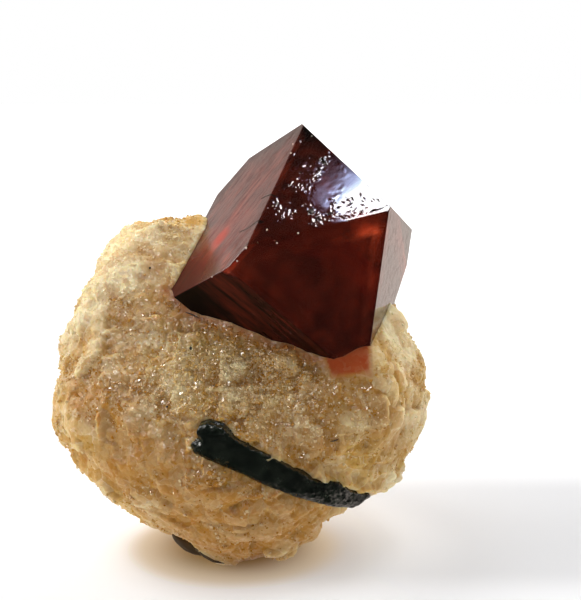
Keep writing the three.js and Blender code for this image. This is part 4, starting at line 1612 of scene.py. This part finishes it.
def add_world():
    """Pale surroundings, bright behind and low down, dark on the camera's side and above. They
    light the object more strongly than they show in its glossy faces."""
    world = bpy.data.worlds.new("studio")
    bpy.context.scene.world = world
    shader = Shader(world)
    direction = shader.node("ShaderNodeTexCoord", {}, {}, "Generated")
    sideways = shader.node("ShaderNodeSeparateXYZ", {}, {0: direction}, "X")
    backward, upward = sideways.of("Y"), sideways.of("Z")
    behind = backward.between(-0.35, 0.75)
    low = 1 - upward.between(0.05, 0.75) * 0.85
    aside = 1 + sideways.between(0.0, 0.5) * 0.42 + (0 - sideways).between(0.1, 0.5) * 0.34
    glow = (0.02 + behind * 0.66) * low * aside
    seen = shader.node("ShaderNodeLightPath", {}, {}, "Is Camera Ray")
    strength = seen.most(glow * (1 + seen.of("Is Diffuse Ray") * WORLD_FILL))
    tint = shader.mixed(seen.of("Is Glossy Ray"), WORLD_TINT, WORLD_MIRRORED)
    tint = shader.mixed(seen, tint, WHITE)
    background = shader.node("ShaderNodeBackground", {}, {"Color": tint, "Strength": strength})
    shader.node("ShaderNodeOutputWorld", {}, {"Surface": background})


def add_floor():
    """A sheet of paper just under the object, which doesn't show in its glossy faces."""
    corners = FLOOR_HALF * np.array([(-1, -1, 0), (1, -1, 0), (1, 1, 0), (-1, 1, 0)])
    floor = make_piece("floor", corners, [(0, 1, 2, 3)])
    floor.location.z = -0.02 * MM
    floor.visible_glossy = False
    floor.data.materials.append(floor_material())


def add_lamp():
    """A small glowing sheet overhead, facing down, which the etched face mirrors."""
    signs = np.array([(-1, -1), (1, -1), (1, 1), (-1, 1)])
    corners = LAMP_CENTRE + LAMP_HALF * signs @ LAMP_SIDES
    sheet = make_piece("overhead sheet", corners, [(3, 2, 1, 0)])
    sheet.data.materials.append(lamp_material())


add_camera()
add_world()
add_panel("left window", (-0.34, 0.02, 0.20), MIDDLE, (0.30, 0.26), 3.3, WARM_WHITE)
add_lamp()
add_panel("ceiling cloth", (0.12, 0.30, 0.80), ORIGIN, (1.2, 1.0), 2.2, WARM_WHITE, mirrored=False)
add_panel("sparkle lamp", (-0.20, -0.26, 0.34), MIDDLE, (0.14, 0.14), 24.0, SPARKLE, lighting=False)
add_floor()
bpy.context.scene.view_settings.view_transform = "Standard"


# ---------------------------------------------------------------- the finished object

def place_piece(piece, material, node):
    """Give a piece its material, hang it under the root body and hide the CAD node it stands in for."""
    piece.data.materials.clear()
    piece.data.materials.append(material)
    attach(piece, "root")
    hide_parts(node)


dark = dark_material()
dull = dull_material("brown-black mineral", SPECK_TONES)
earthy = dull_material("brown grain", BASE_GRAIN_TONES)
matrix = calcite_matrix()
place_piece(matrix, calcite_material(), "calcite_matrix")
sugar = grain_material()
for batch in range(RHOMB_BATCHES):
    grains = calcite_grains(f"calcite_grains_{batch + 1}", matrix, RHOMB_TRIES, 200 + batch)
    place_piece(grains, sugar, "calcite_matrix")
place_piece(zircon_crystal(), zircon_material(), "zircon_crystal")
place_piece(zircon_veils(), veil_material(), "zircon_crystal")
place_piece(zircon_cracks(), dull, "zircon_crystal")
place_piece(dark_blade("blade"), dark, "dark_blade")
place_piece(base_grain(), earthy, "dark_base_grain")
place_piece(dark_specks(), dull, "calcite_matrix")
place_piece(pale_crumbs(), crumb_material(), "calcite_matrix")
